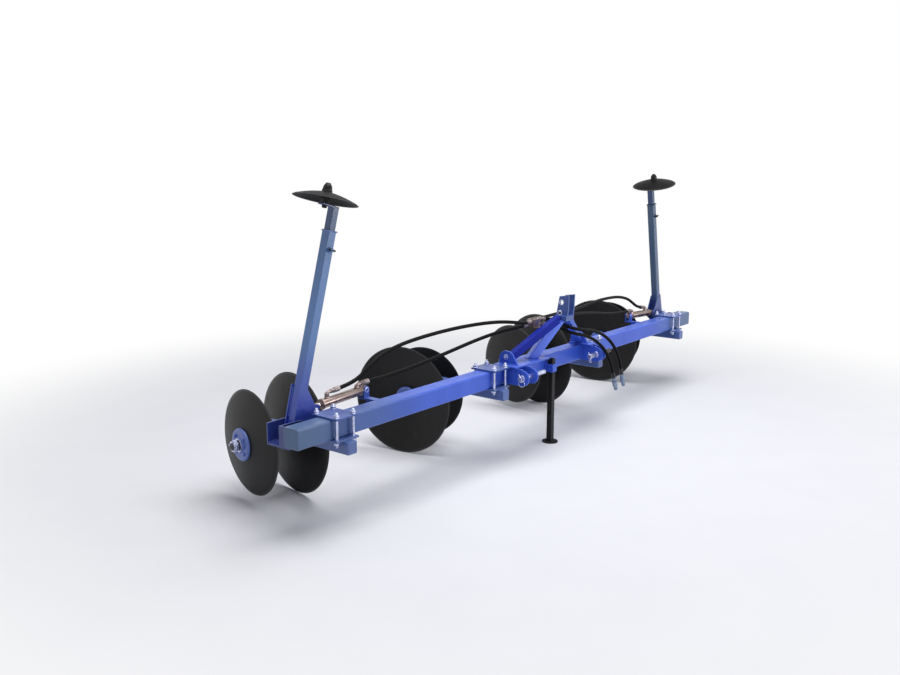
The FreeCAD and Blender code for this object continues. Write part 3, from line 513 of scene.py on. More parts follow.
# Toolbar: a 100 mm square steel tube, 4.2 m long, closed at each end by a plate welded inside its mouth.
# It is sprayed royal blue like the rest of the frame, with soft corners where the rolled tube turns.
BLUE = (0.044, 0.117, 0.620)
BLUE_DEEP = (0.033, 0.090, 0.530)
BLUE_DUST = (0.30, 0.35, 0.50)
# Greyer slate laid into the blue towards the bar's ends: a painted reflection of the white surroundings.
BLUE_PAINTED_REFLECTION = (0.082, 0.140, 0.225)
BAR_BACK = BAR_FRONT + 0.100
BAR_LOW, BAR_TOP = 0.462, 0.562
BAR_END = 2.100
CAP_WELD_AT = 0.99835 * (BAR_END - 0.0005)
CORNERS = ((-1, -1), (1, -1), (1, 1), (-1, 1))


def enamel_finish(name, light, deep, dust_colour=BLUE_DUST, dust_share=0.12, roughness=0.30, wear=0.4, painted_reflections=(),
                  gloss=0.5):
    """Sprayed enamel: cloudy colour, orange peel, rubbed edges, dust that settles on top.

    Each painted reflection is a greyer colour laid in where the paint mirrors the white surroundings: the colour, an
    axis, where along it the colour starts and is full, and its full share.
    """
    material, shader, place, facing = new_finish(name, Coat_Roughness=0.08, Coat_IOR=1.45, Specular_IOR_Level=gloss)
    cloud = place.noise(2.6, 4.0, 0.55)
    streak = place.noise(1.0, 3.0, 0.6, (9.0, 9.0, 2.0))
    peel = place.noise(330.0, 2.0, 0.5)
    wave = place.noise(14.0, 2.0, 0.5)
    speck = place.noise(210.0, 3.0, 0.7)
    edge = place.attribute("edge")
    rubbed = edge * speck.rise(0.52, 0.66) * wear
    dust = facing.axis("Z").rise(0.55, 0.95) * place.noise(11.0, 6.0, 0.65).rise(0.36, 0.70)
    chips = place.noise(75.0, 5.0, 0.75).rise(0.735, 0.75)
    paint = (cloud * 0.6 + streak * 0.4).rise(0.35, 0.65).tint(deep, light)
    # Painted reflection: along each given axis the paint turns to a greyer colour.
    for colour, axis, start, full, share in painted_reflections:
        paint = ((place.axis(axis) + 0.3 * cloud).rise(start, full) * share).tint(paint, colour)
    paint = (dust * dust_share).tint(paint, dust_colour)
    paint = (rubbed + chips * 0.35).tint(paint, (0.30, 0.33, 0.42))
    feed(shader, Base_Color=paint, Roughness=roughness + 0.10 * cloud + 0.25 * dust,
         Coat_Weight=gloss * (0.56 - 0.4 * dust), Normal=(peel * 0.35 + wave).bump(0.10, 0.0012))
    return material


def eased_copy(name, node, width, material, body="frame"):
    """A merged copy of a CAD node with its outer edges rounded by `width`; the new strips carry edge = 1."""
    work = bmesh.new()
    work.from_mesh(nodes[node].data)
    bmesh.ops.remove_doubles(work, verts=work.verts, dist=1e-5)
    bmesh.ops.dissolve_limit(work, angle_limit=math.radians(0.4), verts=work.verts, edges=work.edges)
    strip = work.faces.layers.float.new("edge")
    outer = [e for e in work.edges if e.is_manifold and e.is_convex and e.calc_face_angle(0.0) > math.radians(38)]
    made = bmesh.ops.bevel(work, geom=outer, offset=width, offset_type="OFFSET", segments=2, profile=0.5,
                           affect="EDGES", clamp_overlap=False)
    for face in made["faces"]:
        face[strip] = 1.0
    mesh = bpy.data.meshes.new(name)
    work.to_mesh(mesh)
    work.free()
    mesh.materials.append(material)
    copy = bpy.data.objects.new(name, mesh)
    scene.collection.objects.link(copy)
    mesh.shade_smooth()
    mesh.set_sharp_from_angle(angle=math.radians(33))
    even = copy.modifiers.new("even_normals", "WEIGHTED_NORMAL")
    even.keep_sharp = True
    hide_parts(node)
    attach(copy, body)


def bead(corners, radius=0.0042, closed=False):
    """A laid weld: a tube along the corner points whose radius swells and sinks once in every `pitch`."""
    pitch = 0.0052
    path = np.array([*corners, corners[0]] if closed else corners, float)
    span = np.linalg.norm(np.diff(path, axis=0), axis=1)
    along = np.r_[0.0, np.cumsum(span)]
    count = max(6, int(along[-1] / pitch * 3))
    at = np.linspace(0.0, along[-1], count)
    line = np.stack([np.interp(at, along, path[:, k]) for k in range(3)], -1)
    swell = radius * (1.0 + 0.16 * np.abs(np.sin(at / pitch * math.pi)))
    swell[[0, -1]] *= 0.55
    return skin(tube_grid(line, swell, 8))


def square_bead(centre, u, v, radius):
    """A weld round the four corners centre +- u +- v."""
    return bead([np.array(centre) + i * np.array(u) + j * np.array(v) for i, j in CORNERS], radius, True)


# Towards both ends of the bar the blue turns slate: a painted reflection of the white surroundings.
blue = enamel_finish("royal_blue_enamel", BLUE, BLUE_DEEP, dust_share=0.14, wear=0.5, gloss=0.30,
                     painted_reflections=((BLUE_PAINTED_REFLECTION, "X", -0.85, -2.00, 0.9), (BLUE_PAINTED_REFLECTION, "X", 1.45, 2.25, 0.9)))
eased_copy("toolbar_tube", "toolbar", 0.0012, blue)
eased_copy("toolbar_end_plates", "end_caps", 0.0008, blue)
bar_y, bar_z = (BAR_FRONT + BAR_BACK) / 2, (BAR_LOW + BAR_TOP) / 2
cap_beads = [square_bead((end * CAP_WELD_AT, bar_y, bar_z), (0, 0.042, 0), (0, 0, 0.042), 0.0030)
             for end in (-1, 1)]
solid("toolbar_end_welds", cap_beads, blue, sharp=60)


# Gang arms: four 62 mm square tubes hung under the toolbar, each clamped between two plates by four threaded rods.
# The bearing housing is welded under the rear end; a grease nipple and a ring of small bolts serve its bearing.
ARM_X = (-1.819, -0.553, 0.553, 1.819)
ARM_FRONT = BAR_FRONT - 0.064
ARM_BACK = BAR_FRONT + 0.668
ARM_LOW, ARM_TOP = 0.390, 0.452
ROD_R = 0.008
ROD_APART = 0.055
ROD_FACES = ((0.452, -1), (0.572, 1))
NUT_FLATS = 0.026
HOUSING_MID, HOUSING_HALF, HOUSING_BOLTS_R = 0.018, 0.0838, 0.0465
QUARTERS = np.radians((45, 135, 225, 315))
UP = np.array([0.0, 0.0, 1.0])
GANG_Y = BAR_FRONT + 0.602
AXLE_Z = 0.330
TOE = math.radians(10.0)
GANG_SIDE = (1, -1, 1, -1)
gang_base = [np.array([x, GANG_Y, AXLE_Z]) for x in ARM_X]
gang_axis = [np.array([side * math.cos(TOE), -math.sin(TOE), 0.0]) for side in GANG_SIDE]
gang_across = [np.array([-axis[1], axis[0], 0.0]) for axis in gang_axis]


def soft_ring(low, high, inner, outer, soft, around=40):
    """A turned ring between two heights, with its outer rims softened."""
    return turned([(low, inner), (low, outer - soft), (low + soft, outer), (high - soft, outer), (high, outer - soft),
                   (high, inner)], around, True)


def washer(inner, outer, height):
    return soft_ring(0.0, height, inner, outer, 0.3 * height, 28)


def spots_round(centre, u, v, radius, angles):
    """Places on the circle of `radius` about `centre` in the directions u cos a + v sin a."""
    return [centre + radius * (u * math.cos(a) + v * math.sin(a)) for a in angles]


def threaded(radius, length, pitch=0.002, depth=0.0011):
    """Screw thread: point (h, t) at radius - depth * triangle wave of (h / pitch - t / turn), with tapered ends."""
    rows = int(length / pitch * 3)
    h = np.linspace(0.0, length, rows)
    t = circle(14)
    wave = (h[:, None] / pitch - t[None, :] / (2 * np.pi)) % 1.0
    r = radius - depth * np.abs(2 * wave - 1)
    taper = np.clip(np.minimum(h, length - h) / 0.0015, 0.0, 1.0)
    r = r * (0.86 + 0.14 * taper)[:, None]
    return rings(zip(h, r), t)


def hex_bolt(flats, height, shank_out=0.0, washer_r=0.0, washer_t=0.002):
    """Bolt head or nut with a domed top face, on a washer, with a threaded end that stands out of it."""
    parts = []
    foot = 0.0
    if washer_r:
        parts.append(washer(flats * 0.28, washer_r, washer_t))
        foot = washer_t
    body = hex_ring(flats, [(foot, flats * 0.48), (foot + 0.08 * height, flats * 0.57),
                            (height - 0.14 * height, flats * 0.5774), (height, flats * 0.47)])
    parts.append(body)
    if shank_out:
        end = threaded(flats * 0.30, shank_out + 0.002)
        parts.append((end[0] + (0.0, 0.0, height - 0.002), end[1]))
    return parts


arm_blue = enamel_finish("arm_enamel", (0.072, 0.130, 0.370), (0.055, 0.104, 0.305), wear=0.5)
half = 0.031
for i, x in enumerate(ARM_X, 1):
    eased_copy(f"gang_arm_{i}_tube", f"gang_arm_{i}", 0.0014, arm_blue)
    beads = []
    for side in (-1, 1):
        at = x + side * (half - 0.001), ARM_TOP - 0.003
        beads.append(bead([(at[0], BAR_FRONT - 0.032, at[1]), (at[0], BAR_BACK + 0.032, at[1])], 0.0048))
    for y in (ARM_FRONT + 0.0005, ARM_BACK - 0.0005):
        beads.append(square_bead((x, y, (ARM_LOW + ARM_TOP) / 2), (half - 0.005, 0, 0), (0, 0, half - 0.006), 0.0016))
    beads.append(square_bead((x, GANG_Y, ARM_LOW), (0.0275, 0, 0), (0, 0.061, 0), 0.0045))
    base, axis, across = gang_base[i - 1], gang_axis[i - 1], gang_across[i - 1]
    for side in (-1, 1):
        start = base + across * side * 0.0535 + UP * 0.004
        beads.append(bead([start + axis * -0.020, start + axis * 0.045], 0.0045))
    solid(f"gang_arm_{i}_welds", beads, arm_blue, sharp=60)

    serve = []
    for end in (-1, 1):
        face = base + axis * (HOUSING_MID + end * HOUSING_HALF)
        for spot in spots_round(face, across, UP, HOUSING_BOLTS_R, QUARTERS):
            serve += put_all(hex_bolt(0.0085, 0.0022), spot - axis * end * 0.0025, axis * end)
    front = across * (1 if across[1] < 0 else -1)
    up_front = front * math.cos(0.5) - UP * math.sin(0.5)
    nipple = turned([(0, 0.0052), (0.004, 0.0052), (0.0042, 0.0036), (0.009, 0.0034), (0.0105, 0.0042), (0.013, 0.0042),
                     (0.0145, 0.0022)], 16)
    serve.append(put(nipple, base + axis * 0.055 + up_front * 0.0545, up_front))
    solid(f"gang_arm_{i}_bearing_bolts", serve, zinc)

plate_blue = enamel_finish("clamp_plate_enamel", (0.034, 0.082, 0.340), (0.026, 0.064, 0.280), roughness=0.32, wear=0.5)
eased_copy("clamp_top_plates", "clamp_plates", 0.0016, plate_blue)
rods = []
for x in ARM_X:
    for dx in (-ROD_APART, ROD_APART):
        for y in (BAR_FRONT - 0.018, BAR_BACK + 0.018):
            plain = turned([(0, ROD_R * 0.93), (0.094, ROD_R * 0.93)], 20)
            for part, z in ((threaded(ROD_R, 0.040), 0.426), (plain, 0.465), (threaded(ROD_R, 0.040), 0.558)):
                rods.append(put(part, (x + dx, y, z), UP))
            for at, way in ROD_FACES:
                rods.append(put(washer(0.0084, 0.0152, 0.0026), (x + dx, y, at), UP * way))
                rods.append(put(hex_nut(NUT_FLATS, 0.0114, 0.0013), (x + dx, y, at + way * 0.0026), UP * way,
                                0.4 * dx / ROD_APART + y))
solid("clamp_rods", rods, zinc, node="clamp_bolts")


# Gang discs: pressed and hardened steel dishes, 660 and 560 mm, with an edge ground on the round side.
# New discs are dipped in satin black; faint rings show where the sheet was spun.
LARGE_R, SMALL_R = 0.330, 0.280
LARGE_AT, SMALL_AT = 0.198, -0.066
DISC_T = 0.006
DISC_FLAT, DISC_HOLE = 0.076, 0.0255


def three_point_arc(p, q, s, count):
    """Points on the circle through p, q and s, evenly turned from p to s."""
    (ax, ay), (bx, by), (cx, cy) = p, q, s
    d = 2 * (ax * (by - cy) + bx * (cy - ay) + cx * (ay - by))
    ux = ((ax * ax + ay * ay) * (by - cy) + (bx * bx + by * by) * (cy - ay) + (cx * cx + cy * cy) * (ay - by)) / d
    uy = ((ax * ax + ay * ay) * (cx - bx) + (bx * bx + by * by) * (ax - cx) + (cx * cx + cy * cy) * (bx - ax)) / d
    a0, a1 = math.atan2(ay - uy, ax - ux), math.atan2(cy - uy, cx - ux)
    turn = (a1 - a0 + math.pi) % (2 * math.pi) - math.pi
    a = a0 + turn * np.linspace(0.0, 1.0, count)
    r = math.hypot(ax - ux, ay - uy)
    return np.stack([ux + r * np.cos(a), uy + r * np.sin(a)], -1)


def dish(rim_r, depth, thick, flat_r, hole_r, ground=0.020, around=112):
    """Closed (height, radius) ring: round side out along the pressed arc, ground to a thin rim, hollow side back in."""
    middle = (flat_r + rim_r) / 2
    out = three_point_arc((-depth, flat_r), (-depth * 0.60, middle), (0.0, rim_r), 22)
    back = three_point_arc((thick - 0.0004, rim_r - thick * 0.4), (-depth * 0.60 + thick, middle - thick * 0.2),
                           (-depth + thick, flat_r), 22)
    share = np.clip((out[:, 1] - (rim_r - ground)) / ground, 0.0, 1.0)
    out[:, 0] += share * (thick - 0.0016)
    profile = [(-depth, hole_r), (-depth, flat_r - 0.004), *out.tolist(), *back.tolist(),
               (-depth + thick, flat_r - 0.004), (-depth + thick, hole_r)]
    return turned(profile, around, True)


def disc_finish(name, black, worn, ring_scale=420.0, gloss=0.22, dry=0.07):
    """Satin black dip on spun sheet: rings round the disc's own axis, cloudy gloss, a rubbed edge and dry dust."""
    material, shader, place, facing = new_finish(name, Specular_IOR_Level=gloss, Coat_Roughness=0.28)
    own = place.attribute("own", 1)
    flat = own.vector("MULTIPLY", own, (1.0, 1.0, 0.0))
    radius = own.vector("LENGTH", flat)
    spun = radius.node("ShaderNodeTexNoise", {"W": radius * ring_scale, "Scale": 1.0, "Detail": 3.0, "Roughness": 0.6},
                       {"noise_dimensions": "1D"})
    broad = radius.node("ShaderNodeTexNoise", {"W": radius * 46.0, "Scale": 1.0, "Detail": 2.0},
                        {"noise_dimensions": "1D"})
    cloud = place.noise(5.0, 5.0, 0.6)
    grain = place.noise(520.0, 2.0, 0.5)
    dust = place.noise(8.0, 6.0, 0.68).rise(0.50, 0.80)
    scratch = own.noise(1.0, 3.0, 0.7, (34.0, 260.0, 34.0)).rise(0.70, 0.76)
    edge = place.attribute("band")
    rim = (radius - edge).rise(-0.016, -0.002)
    paint = cloud.rise(0.30, 0.72).tint(black, worn)
    paint = (dust * dry).tint(paint, (0.17, 0.16, 0.15))
    paint = (rim * 0.16 + scratch * 0.10).tint(paint, (0.22, 0.22, 0.23))
    feed(shader, Base_Color=paint, Roughness=0.40 + 0.10 * cloud + 0.06 * spun + 0.15 * dust,
         Coat_Weight=gloss * (0.20 - 0.15 * dust), Normal=(spun * 0.55 + broad * 0.5 + grain * 0.25).bump(0.16, 0.0006))
    return material


disc_black = disc_finish("satin_black_disc", (0.0064, 0.0063, 0.0066), (0.0098, 0.0096, 0.0100))
for i, (base, axis) in enumerate(zip(gang_base, gang_axis), 1):
    large = put(dish(LARGE_R, 0.060, DISC_T, DISC_FLAT, DISC_HOLE), base + axis * LARGE_AT, axis)
    small = put(dish(SMALL_R, 0.045, DISC_T, DISC_FLAT, DISC_HOLE), base + axis * SMALL_AT, axis)
    solid(f"gang_{i}_dishes", [large, small], disc_black, f"gang_{i}", 24, [LARGE_R, SMALL_R],
          f"gang_discs_{i}")


# Axles: a 50 mm shaft with blue cast flanges that squeeze the discs against blue spools, drawn up by castle nuts.
# The nuts and washers are bright, the shaft ends are bare black steel with a split pin through the castle.
SPOOL_R = 0.038
SHAFT_R = 0.025
SHAFT_LOW, SHAFT_TOP = -0.134, 0.167
# Each end of the shaft: where its face is, which way it looks, and its flange bolts' circle and how deep they sit.
SHAFT_ENDS = ((-0.133, -1, 0.058, 0.0075), (0.166, 1, 0.052, 0.0022))


def cast_flange(reach, rim):
    """Outer flange of radius `reach`: flat back, rounded rim `rim` thick, a shallow dish and a raised boss."""
    return turned([(0, 0.0256), (0, reach - 0.002), (0.0020, reach), (rim - 0.0045, reach), (rim, reach - 0.0012),
                   (rim + 0.0036, reach - 0.0042), (rim + 0.0056, reach - 0.0090), (rim + 0.0060, reach - 0.014),
                   (rim + 0.0050, 0.0430), (0.0205, 0.0390), (0.0216, 0.0368), (0.0220, 0.0345), (0.0220, 0.0256)],
                  72, True)


def spool(length):
    """Spacer on the shaft: waisted between two bearing faces."""
    return turned([(0, SPOOL_R), (0.006, SPOOL_R), (0.009, SPOOL_R - 0.004), (length - 0.0093, SPOOL_R - 0.004),
                   (length - 0.0063, SPOOL_R), (length, SPOOL_R), (length, 0.0252), (0, 0.0252)], 40, True)


def castle_nut():
    """Hexagon with a turned crown whose top sinks in six slots: height(t) drops where t is near a flat's middle."""
    flats, height, crown = 0.060, 0.024, 0.008
    foot = height - crown
    body = hex_ring(flats, [(0.0, flats * 0.475), (0.0022, flats * 0.5774), (foot - 0.0026, flats * 0.5774),
                            (foot, flats * 0.47)], 48)
    t = circle(96)
    slot = np.abs((t + np.pi / 6) % (np.pi / 3) - np.pi / 6) < 0.13
    top = height - slot * (crown - 0.0008)
    outer, inner = flats * 0.45, 0.0196
    return [body, rings([(foot - 0.001, outer), (top - 0.0008, outer), (top, outer - 0.0012), (top, inner),
                         (foot - 0.001, inner)], t, True)]


def split_pin(reach):
    """Two wires through the slot, an eye at one side and the legs bent round the crown at the other."""
    wire = 0.0022
    t = np.linspace(0.0, 1.0, 14)
    legs = []
    for side in (-1, 1):
        bend = np.clip((t - 0.78) / 0.22, 0.0, 1.0)
        x = -reach + (2 * reach + 0.004) * np.minimum(t / 0.80, 1.0)
        line = np.stack([x, side * wire * 0.9 + side * bend * 0.012, 0.004 * bend * side], -1)
        legs.append(skin(tube_grid(line, wire, 8)))
    a = np.linspace(0.0, 2 * np.pi, 16)
    eye_line = np.stack([-reach - 0.004 + 0.0055 * np.cos(a), 0.0045 * np.sin(a), 0 * a], -1)
    return [*legs, skin(tube_grid(eye_line, wire, 8))]


axle_blue = enamel_finish("axle_blue_enamel", (0.090, 0.155, 0.480), (0.070, 0.125, 0.410), roughness=0.28, wear=0.3)
shaft_black = plated_finish("bare_black_shaft", (0.085, 0.082, 0.100), (0.050, 0.048, 0.060), 0.30, 0.85)
spacer = turned([(0, 0.0195), (0, 0.0262), (0.0010, 0.0270), (0.0076, 0.0270), (0.0086, 0.0262), (0.0086, 0.0195)],
                36, True)
for i, (base, axis, across) in enumerate(zip(gang_base, gang_axis, gang_across), 1):
    blue_parts = [put(part, base + axis * at, axis * way) for part, at, way in (
        (cast_flange(0.086, 0.0100), -0.111, -1), (cast_flange(0.072, 0.0150), 0.144, 1),
        (spool(0.0387), -0.105, 1), (spool(0.0357), 0.1023, 1))]
    ends, bright = [put(turned([(SHAFT_LOW, SHAFT_R), (SHAFT_TOP, SHAFT_R)], 40), base, axis)], []
    for at, way, bolts_r, sunk in SHAFT_ENDS:
        face, out = base + axis * at, axis * way
        ends.append(put(threaded(0.019, 0.0415, 0.0022, 0.0012), face, out))
        ends.append(put(spacer, face + out * 0.0038, out))
        bright.append(put(washer(0.0205, 0.0365, 0.0038), face, out))
        bright += put_all(castle_nut(), face + out * 0.0124, out)
        bright += put_all(split_pin(0.028), face + out * 0.0331, out)
        for spot in spots_round(face - out * sunk, across, UP, bolts_r, QUARTERS):
            blue_parts += put_all(hex_bolt(0.0175, 0.0098, 0.0, 0.0105), spot, out)
    solid(f"axle_{i}_flanges", blue_parts, axle_blue, f"gang_{i}", 40, node=f"axle_{i}")
    solid(f"axle_{i}_shaft", ends, shaft_black, f"gang_{i}")
    solid(f"axle_{i}_nuts", bright, zinc, f"gang_{i}", 28)


# Mast: two leaning plates of 12 mm on a cross block, with bright bushes pressed in the two top-link holes.
# One square tube runs down to the left hitch plate and two thinner ones to bolted lugs; all are welded at the block.
MAST_HOLES = ((-0.110, 0.909), (-0.098, 0.843))
MAST_OUT = 0.039
MAST_FRONT, MAST_REAR = BAR_FRONT - 0.150, BAR_FRONT - 0.070
BLOCK_TOP, BLOCK_LOW = 0.826, 0.795
LUG_X, LUG_HALF = 0.410, 0.006
PLATE_TOP = 0.572

slate = enamel_finish("slate_blue_enamel", (0.042, 0.090, 0.310), (0.031, 0.070, 0.250))
eased_copy("mast_plates", "mast", 0.0016, slate)
# Painted light and shade: the front brace gets a lighter blue and the left rear brace a dark navy, lit and shaded
# copies of the frame's royal blue.
front_brace_painted_light = enamel_finish("front_brace_painted_light_enamel", (0.120, 0.225, 0.930), (0.098, 0.188, 0.850), dust_share=0.10,
                            roughness=0.28)
rear_brace_painted_shade = enamel_finish("rear_brace_painted_shade_enamel", (0.004, 0.017, 0.300), (0.003, 0.013, 0.245), dust_share=0.05,
                     roughness=0.36, gloss=0.1)
eased_copy("front_brace_tube", "front_brace", 0.0010, front_brace_painted_light)
eased_copy("rear_brace_left_tube", "rear_brace_left", 0.0010, rear_brace_painted_shade)
eased_copy("rear_brace_right_tube", "rear_brace_right", 0.0010, blue)
eased_copy("brace_lug_plates", "brace_lugs", 0.0014, blue)

bush = turned([(0, 0.0127), (0, 0.0164), (0.0008, 0.0172), (0.0024, 0.0172), (0.0028, 0.0166), (0.0142, 0.0166),
               (0.0142, 0.0127)], 40, True)
bushes = [put(bush, (side * (MAST_OUT + 0.0020), BAR_FRONT + y, z), (-side, 0, 0))
          for y, z in MAST_HOLES for side in (-1, 1)]
for side in (-1, 1):
    for face in (-1, 1):
        head = hex_bolt(0.0208, 0.0088, 0.007 if face > 0 else 0.0, 0.0165)
        spot = (side * LUG_X + face * side * LUG_HALF, BAR_FRONT + 0.035, PLATE_TOP + 0.040)
        bushes += put_all(head, spot, (face * side, 0, 0), 0.3)
solid("mast_bushes_and_lug_bolts", bushes, zinc)

mast_beads = []
for side in (-1, 1):
    for x, radius in ((side * (MAST_OUT + 0.0006), 0.0042), (side * 0.0265, 0.0038)):
        mast_beads.append(bead([(x, MAST_FRONT + 0.006, BLOCK_TOP), (x, MAST_REAR - 0.003, BLOCK_TOP)], radius))
    for face in (-1, 1):
        x = side * LUG_X + face * (LUG_HALF + 0.0005)
        mast_beads.append(bead([(x, BAR_FRONT - 0.044, PLATE_TOP), (x, BAR_FRONT + 0.080, PLATE_TOP)]))


def level_ring(top, foot, width, level):
    """A weld where a square tube is cut off level: its four edges are followed to the height `level`."""
    top, foot = np.array(top), np.array(foot)
    run = (foot - top) / np.linalg.norm(foot - top)
    side = np.cross(run, (0.0, 0.0, 1.0))
    side /= np.linalg.norm(side)
    up = np.cross(side, run)
    half = width / 2 - 0.001
    starts = [top + side * half * i + up * half * j for i, j in CORNERS]
    return bead([start + run * (level - start[2]) / run[2] for start in starts], closed=True)


front_top, front_foot = (-0.020, BAR_FRONT - 0.106, 0.830), (-0.185, BAR_FRONT + 0.014, 0.562)
for level in (PLATE_TOP + 0.0005, BLOCK_LOW - 0.0005):
    mast_beads.append(level_ring(front_top, front_foot, 0.056, level))
solid("mast_welds", mast_beads, blue, sharp=60)


# Lower hitch: pairs of round-nosed plates welded to the toolbar's front and tied over its top, with 32 mm pins.
# The pins are turned down at the tail, with a short cross pin through the head; the left one has a ring clip.
PIN_Y, PIN_Z, PIN_R, TAIL_R = BAR_FRONT - 0.110, 0.509, 0.016, 0.014
PLATE_T = 0.012
HITCH_PLATES = ((-0.4585, -0.3635), (0.404, 0.4465))
HITCH_WELD_LOW, HITCH_WELD_TOP = 0.466, 0.556
CLIP_TILT = 0.35

for word in ("left", "right"):
    eased_copy(f"hitch_plates_{word}", f"hitch_bracket_{word}", 0.0016, blue)
hitch_beads = []
for first, last in HITCH_PLATES:
    for x in (first, first + PLATE_T, last, last + PLATE_T):
        hitch_beads.append(bead([(x, BAR_FRONT - 0.0008, z) for z in (HITCH_WELD_LOW, HITCH_WELD_TOP)]))
for x0, x1 in ((-0.4645, -0.104), (0.398, 0.4645)):
    hitch_beads.append(bead([(x0, BAR_FRONT + 0.0905, 0.5635), (x1, BAR_FRONT + 0.0905, 0.5635)]))
solid("hitch_welds", hitch_beads, blue, sharp=60)


def clip_ring(pin_r, wide):
    """Linch pin: a short pin through the head with a sprung wire ring, `wide` in radius, that swings down round it."""
    cross = turned([(-pin_r - 0.007, 0.0032), (-pin_r - 0.006, 0.0042), (pin_r + 0.010, 0.0042),
                    (pin_r + 0.012, 0.0030)], 16)
    a = np.linspace(0.12, 2 * np.pi - 0.12, 44)
    ring = np.stack([wide * np.cos(a), wide * np.sin(a), 0.0 * a], -1)
    return cross, skin(tube_grid(ring, 0.0020, 10))


pins, tails = [], []
clip_down = np.array([0.0, -math.sin(CLIP_TILT), -math.cos(CLIP_TILT)])
for (first, last), side in zip(HITCH_PLATES, (-1, 1)):
    right = last + PLATE_T
    start = first - (0.026 if side < 0 else 0.088)
    body = turned([(start, PIN_R - 0.0025), (start + 0.0025, PIN_R), (right - 0.001, PIN_R), (right + 0.001, TAIL_R)],
                  40)
    tail = turned([(right, TAIL_R), (right + 0.118, TAIL_R), (right + 0.1185, TAIL_R - 0.0016),
                   (right + 0.1215, TAIL_R - 0.0016), (right + 0.122, TAIL_R), (right + 0.129, TAIL_R),
                   (right + 0.132, TAIL_R - 0.003)], 40)
    pins.append(put(body, (0.0, PIN_Y, PIN_Z), (1, 0, 0)))
    (pins if side < 0 else tails).append(put(tail, (0.0, PIN_Y, PIN_Z), (1, 0, 0)))
    pins.append(put(washer(PIN_R - 0.0003, 0.0208, 0.0058), (first, PIN_Y, PIN_Z), (-1, 0, 0)))
    cross, ring = clip_ring(PIN_R, 0.0185)
    head = np.array([start + 0.009, PIN_Y, PIN_Z])
    pins.append(put(cross, head, -clip_down))
    if side < 0:
        pins.append(put(ring, head + clip_down * 0.029, (1.0, 0.25, 0.15)))
solid("hitch_pin_far_tail", tails, shaft_black)
solid("hitch_pins_and_clips", pins, zinc, node="hitch_pins")


# Parking stand: a black square leg with a round foot that slides in a blue sleeve on the toolbar's front.
# A cross pin through the sleeve and a row of holes hold it; the foot is a flame-cut disc welded on.
STAND_X, STAND_Y, STAND_HALF = -0.010, BAR_FRONT - 0.030, 0.018
SLEEVE_HALF = 0.024
HOLE_LOW, HOLE_STEP, OPEN_HOLES = 0.130, 0.050, (0, 2, 3, 4, 5, 6)

black = enamel_finish("black_enamel", (0.0095, 0.0095, 0.0105), (0.0060, 0.0060, 0.0070), (0.10, 0.097, 0.094),
                      roughness=0.36, wear=0.5, gloss=0.16)
eased_copy("stand_leg_tube", "stand_leg", 0.0009, black, "stand")
eased_copy("stand_sleeve_box", "stand_sleeve", 0.0012, blue)
hole_rim = turned([(0, 0.0050), (0, 0.0068), (0.0002, 0.0066), (0.0002, 0.0050)], 20, True)
leg_parts = [put(hole_rim, (STAND_X + side * STAND_HALF, STAND_Y, HOLE_LOW + HOLE_STEP * k), (side, 0, 0))
             for k in OPEN_HOLES for side in (-1, 1)]
leg_parts.append(square_bead((STAND_X, STAND_Y, 0.009), (0.0185, 0, 0), (0, 0.0185, 0), 0.0034))
solid("stand_leg_details", leg_parts, black, "stand")
keeper = []
for side, thread_out in ((-1, 0.004), (1, 0.0)):
    keeper += put_all(hex_bolt(0.014, 0.008, thread_out, 0.010), (STAND_X + side * SLEEVE_HALF, STAND_Y, 0.4845),
                      (side, 0, 0))
solid("stand_keeper_bolt", keeper, blue)


# Row markers: 50 mm square tubes that fold on a pin behind the toolbar, each with a thinner tube that slides inside.
# The tube hangs between two gusset plates; a set bolt locks the slide and a dished disc turns on a stub axle on top.
MARKER_X, MARKER_Y, MARKER_Z = 1.942, BAR_FRONT + 0.205, 0.505
LEAN, TILT = math.radians(14.5), math.radians(1.7)
MARKER_HALF = 0.025
MARKER_LEN = 0.960
STUB_OUT = 0.060
RIM_AT = 1.094
MARKER_DISC_R = 0.160
GUSSET_WELD = (0.045, 0.190)

# Both marker arms turn greyer towards their tops: a painted reflection of the white surroundings.
marker_blue = {
    -1: enamel_finish("marker_blue_enamel", (0.034, 0.070, 0.440), (0.026, 0.055, 0.370), dust_share=0.08,
                      painted_reflections=(((0.090, 0.192, 0.425), "Z", 0.72, 1.15, 1.0),)),
    1: enamel_finish("marker_slate_enamel", (0.040, 0.076, 0.300), (0.030, 0.058, 0.250), dust_share=0.08,
                     painted_reflections=(((0.056, 0.106, 0.190), "Z", 0.72, 1.00, 1.0),))}
slide_blue = enamel_finish("marker_slide_enamel", (0.036, 0.082, 0.205), (0.027, 0.064, 0.165), dust_share=0.08)
# Painted shade: the marker brackets get a dark navy standing for the shade in their insides, a shaded copy of the
# frame's blue.
bracket_painted_shade = enamel_finish("bracket_painted_shade_enamel", (0.022, 0.042, 0.210), (0.016, 0.032, 0.165), dust_share=0.10,
                             roughness=0.32, wear=0.3)


def on_marker(side):
    """Pivot and the arm's own directions: inboard across the arm, towards the tractor, and up along the arm."""
    up = np.array([0.0, -math.sin(TILT), math.cos(TILT)])
    inboard = np.array([1.0, 0.0, 0.0])
    front = np.array([0.0, -math.cos(TILT), -math.sin(TILT)])
    c, s = math.cos(LEAN), math.sin(LEAN)
    lean = np.array([[c, 0.0, s], [0.0, 1.0, 0.0], [-s, 0.0, c]])
    flip = np.array([-side, 1.0, 1.0])
    pivot = np.array([side * MARKER_X, MARKER_Y, MARKER_Z])
    return pivot, lean @ inboard * flip, lean @ front * flip, lean @ up * flip


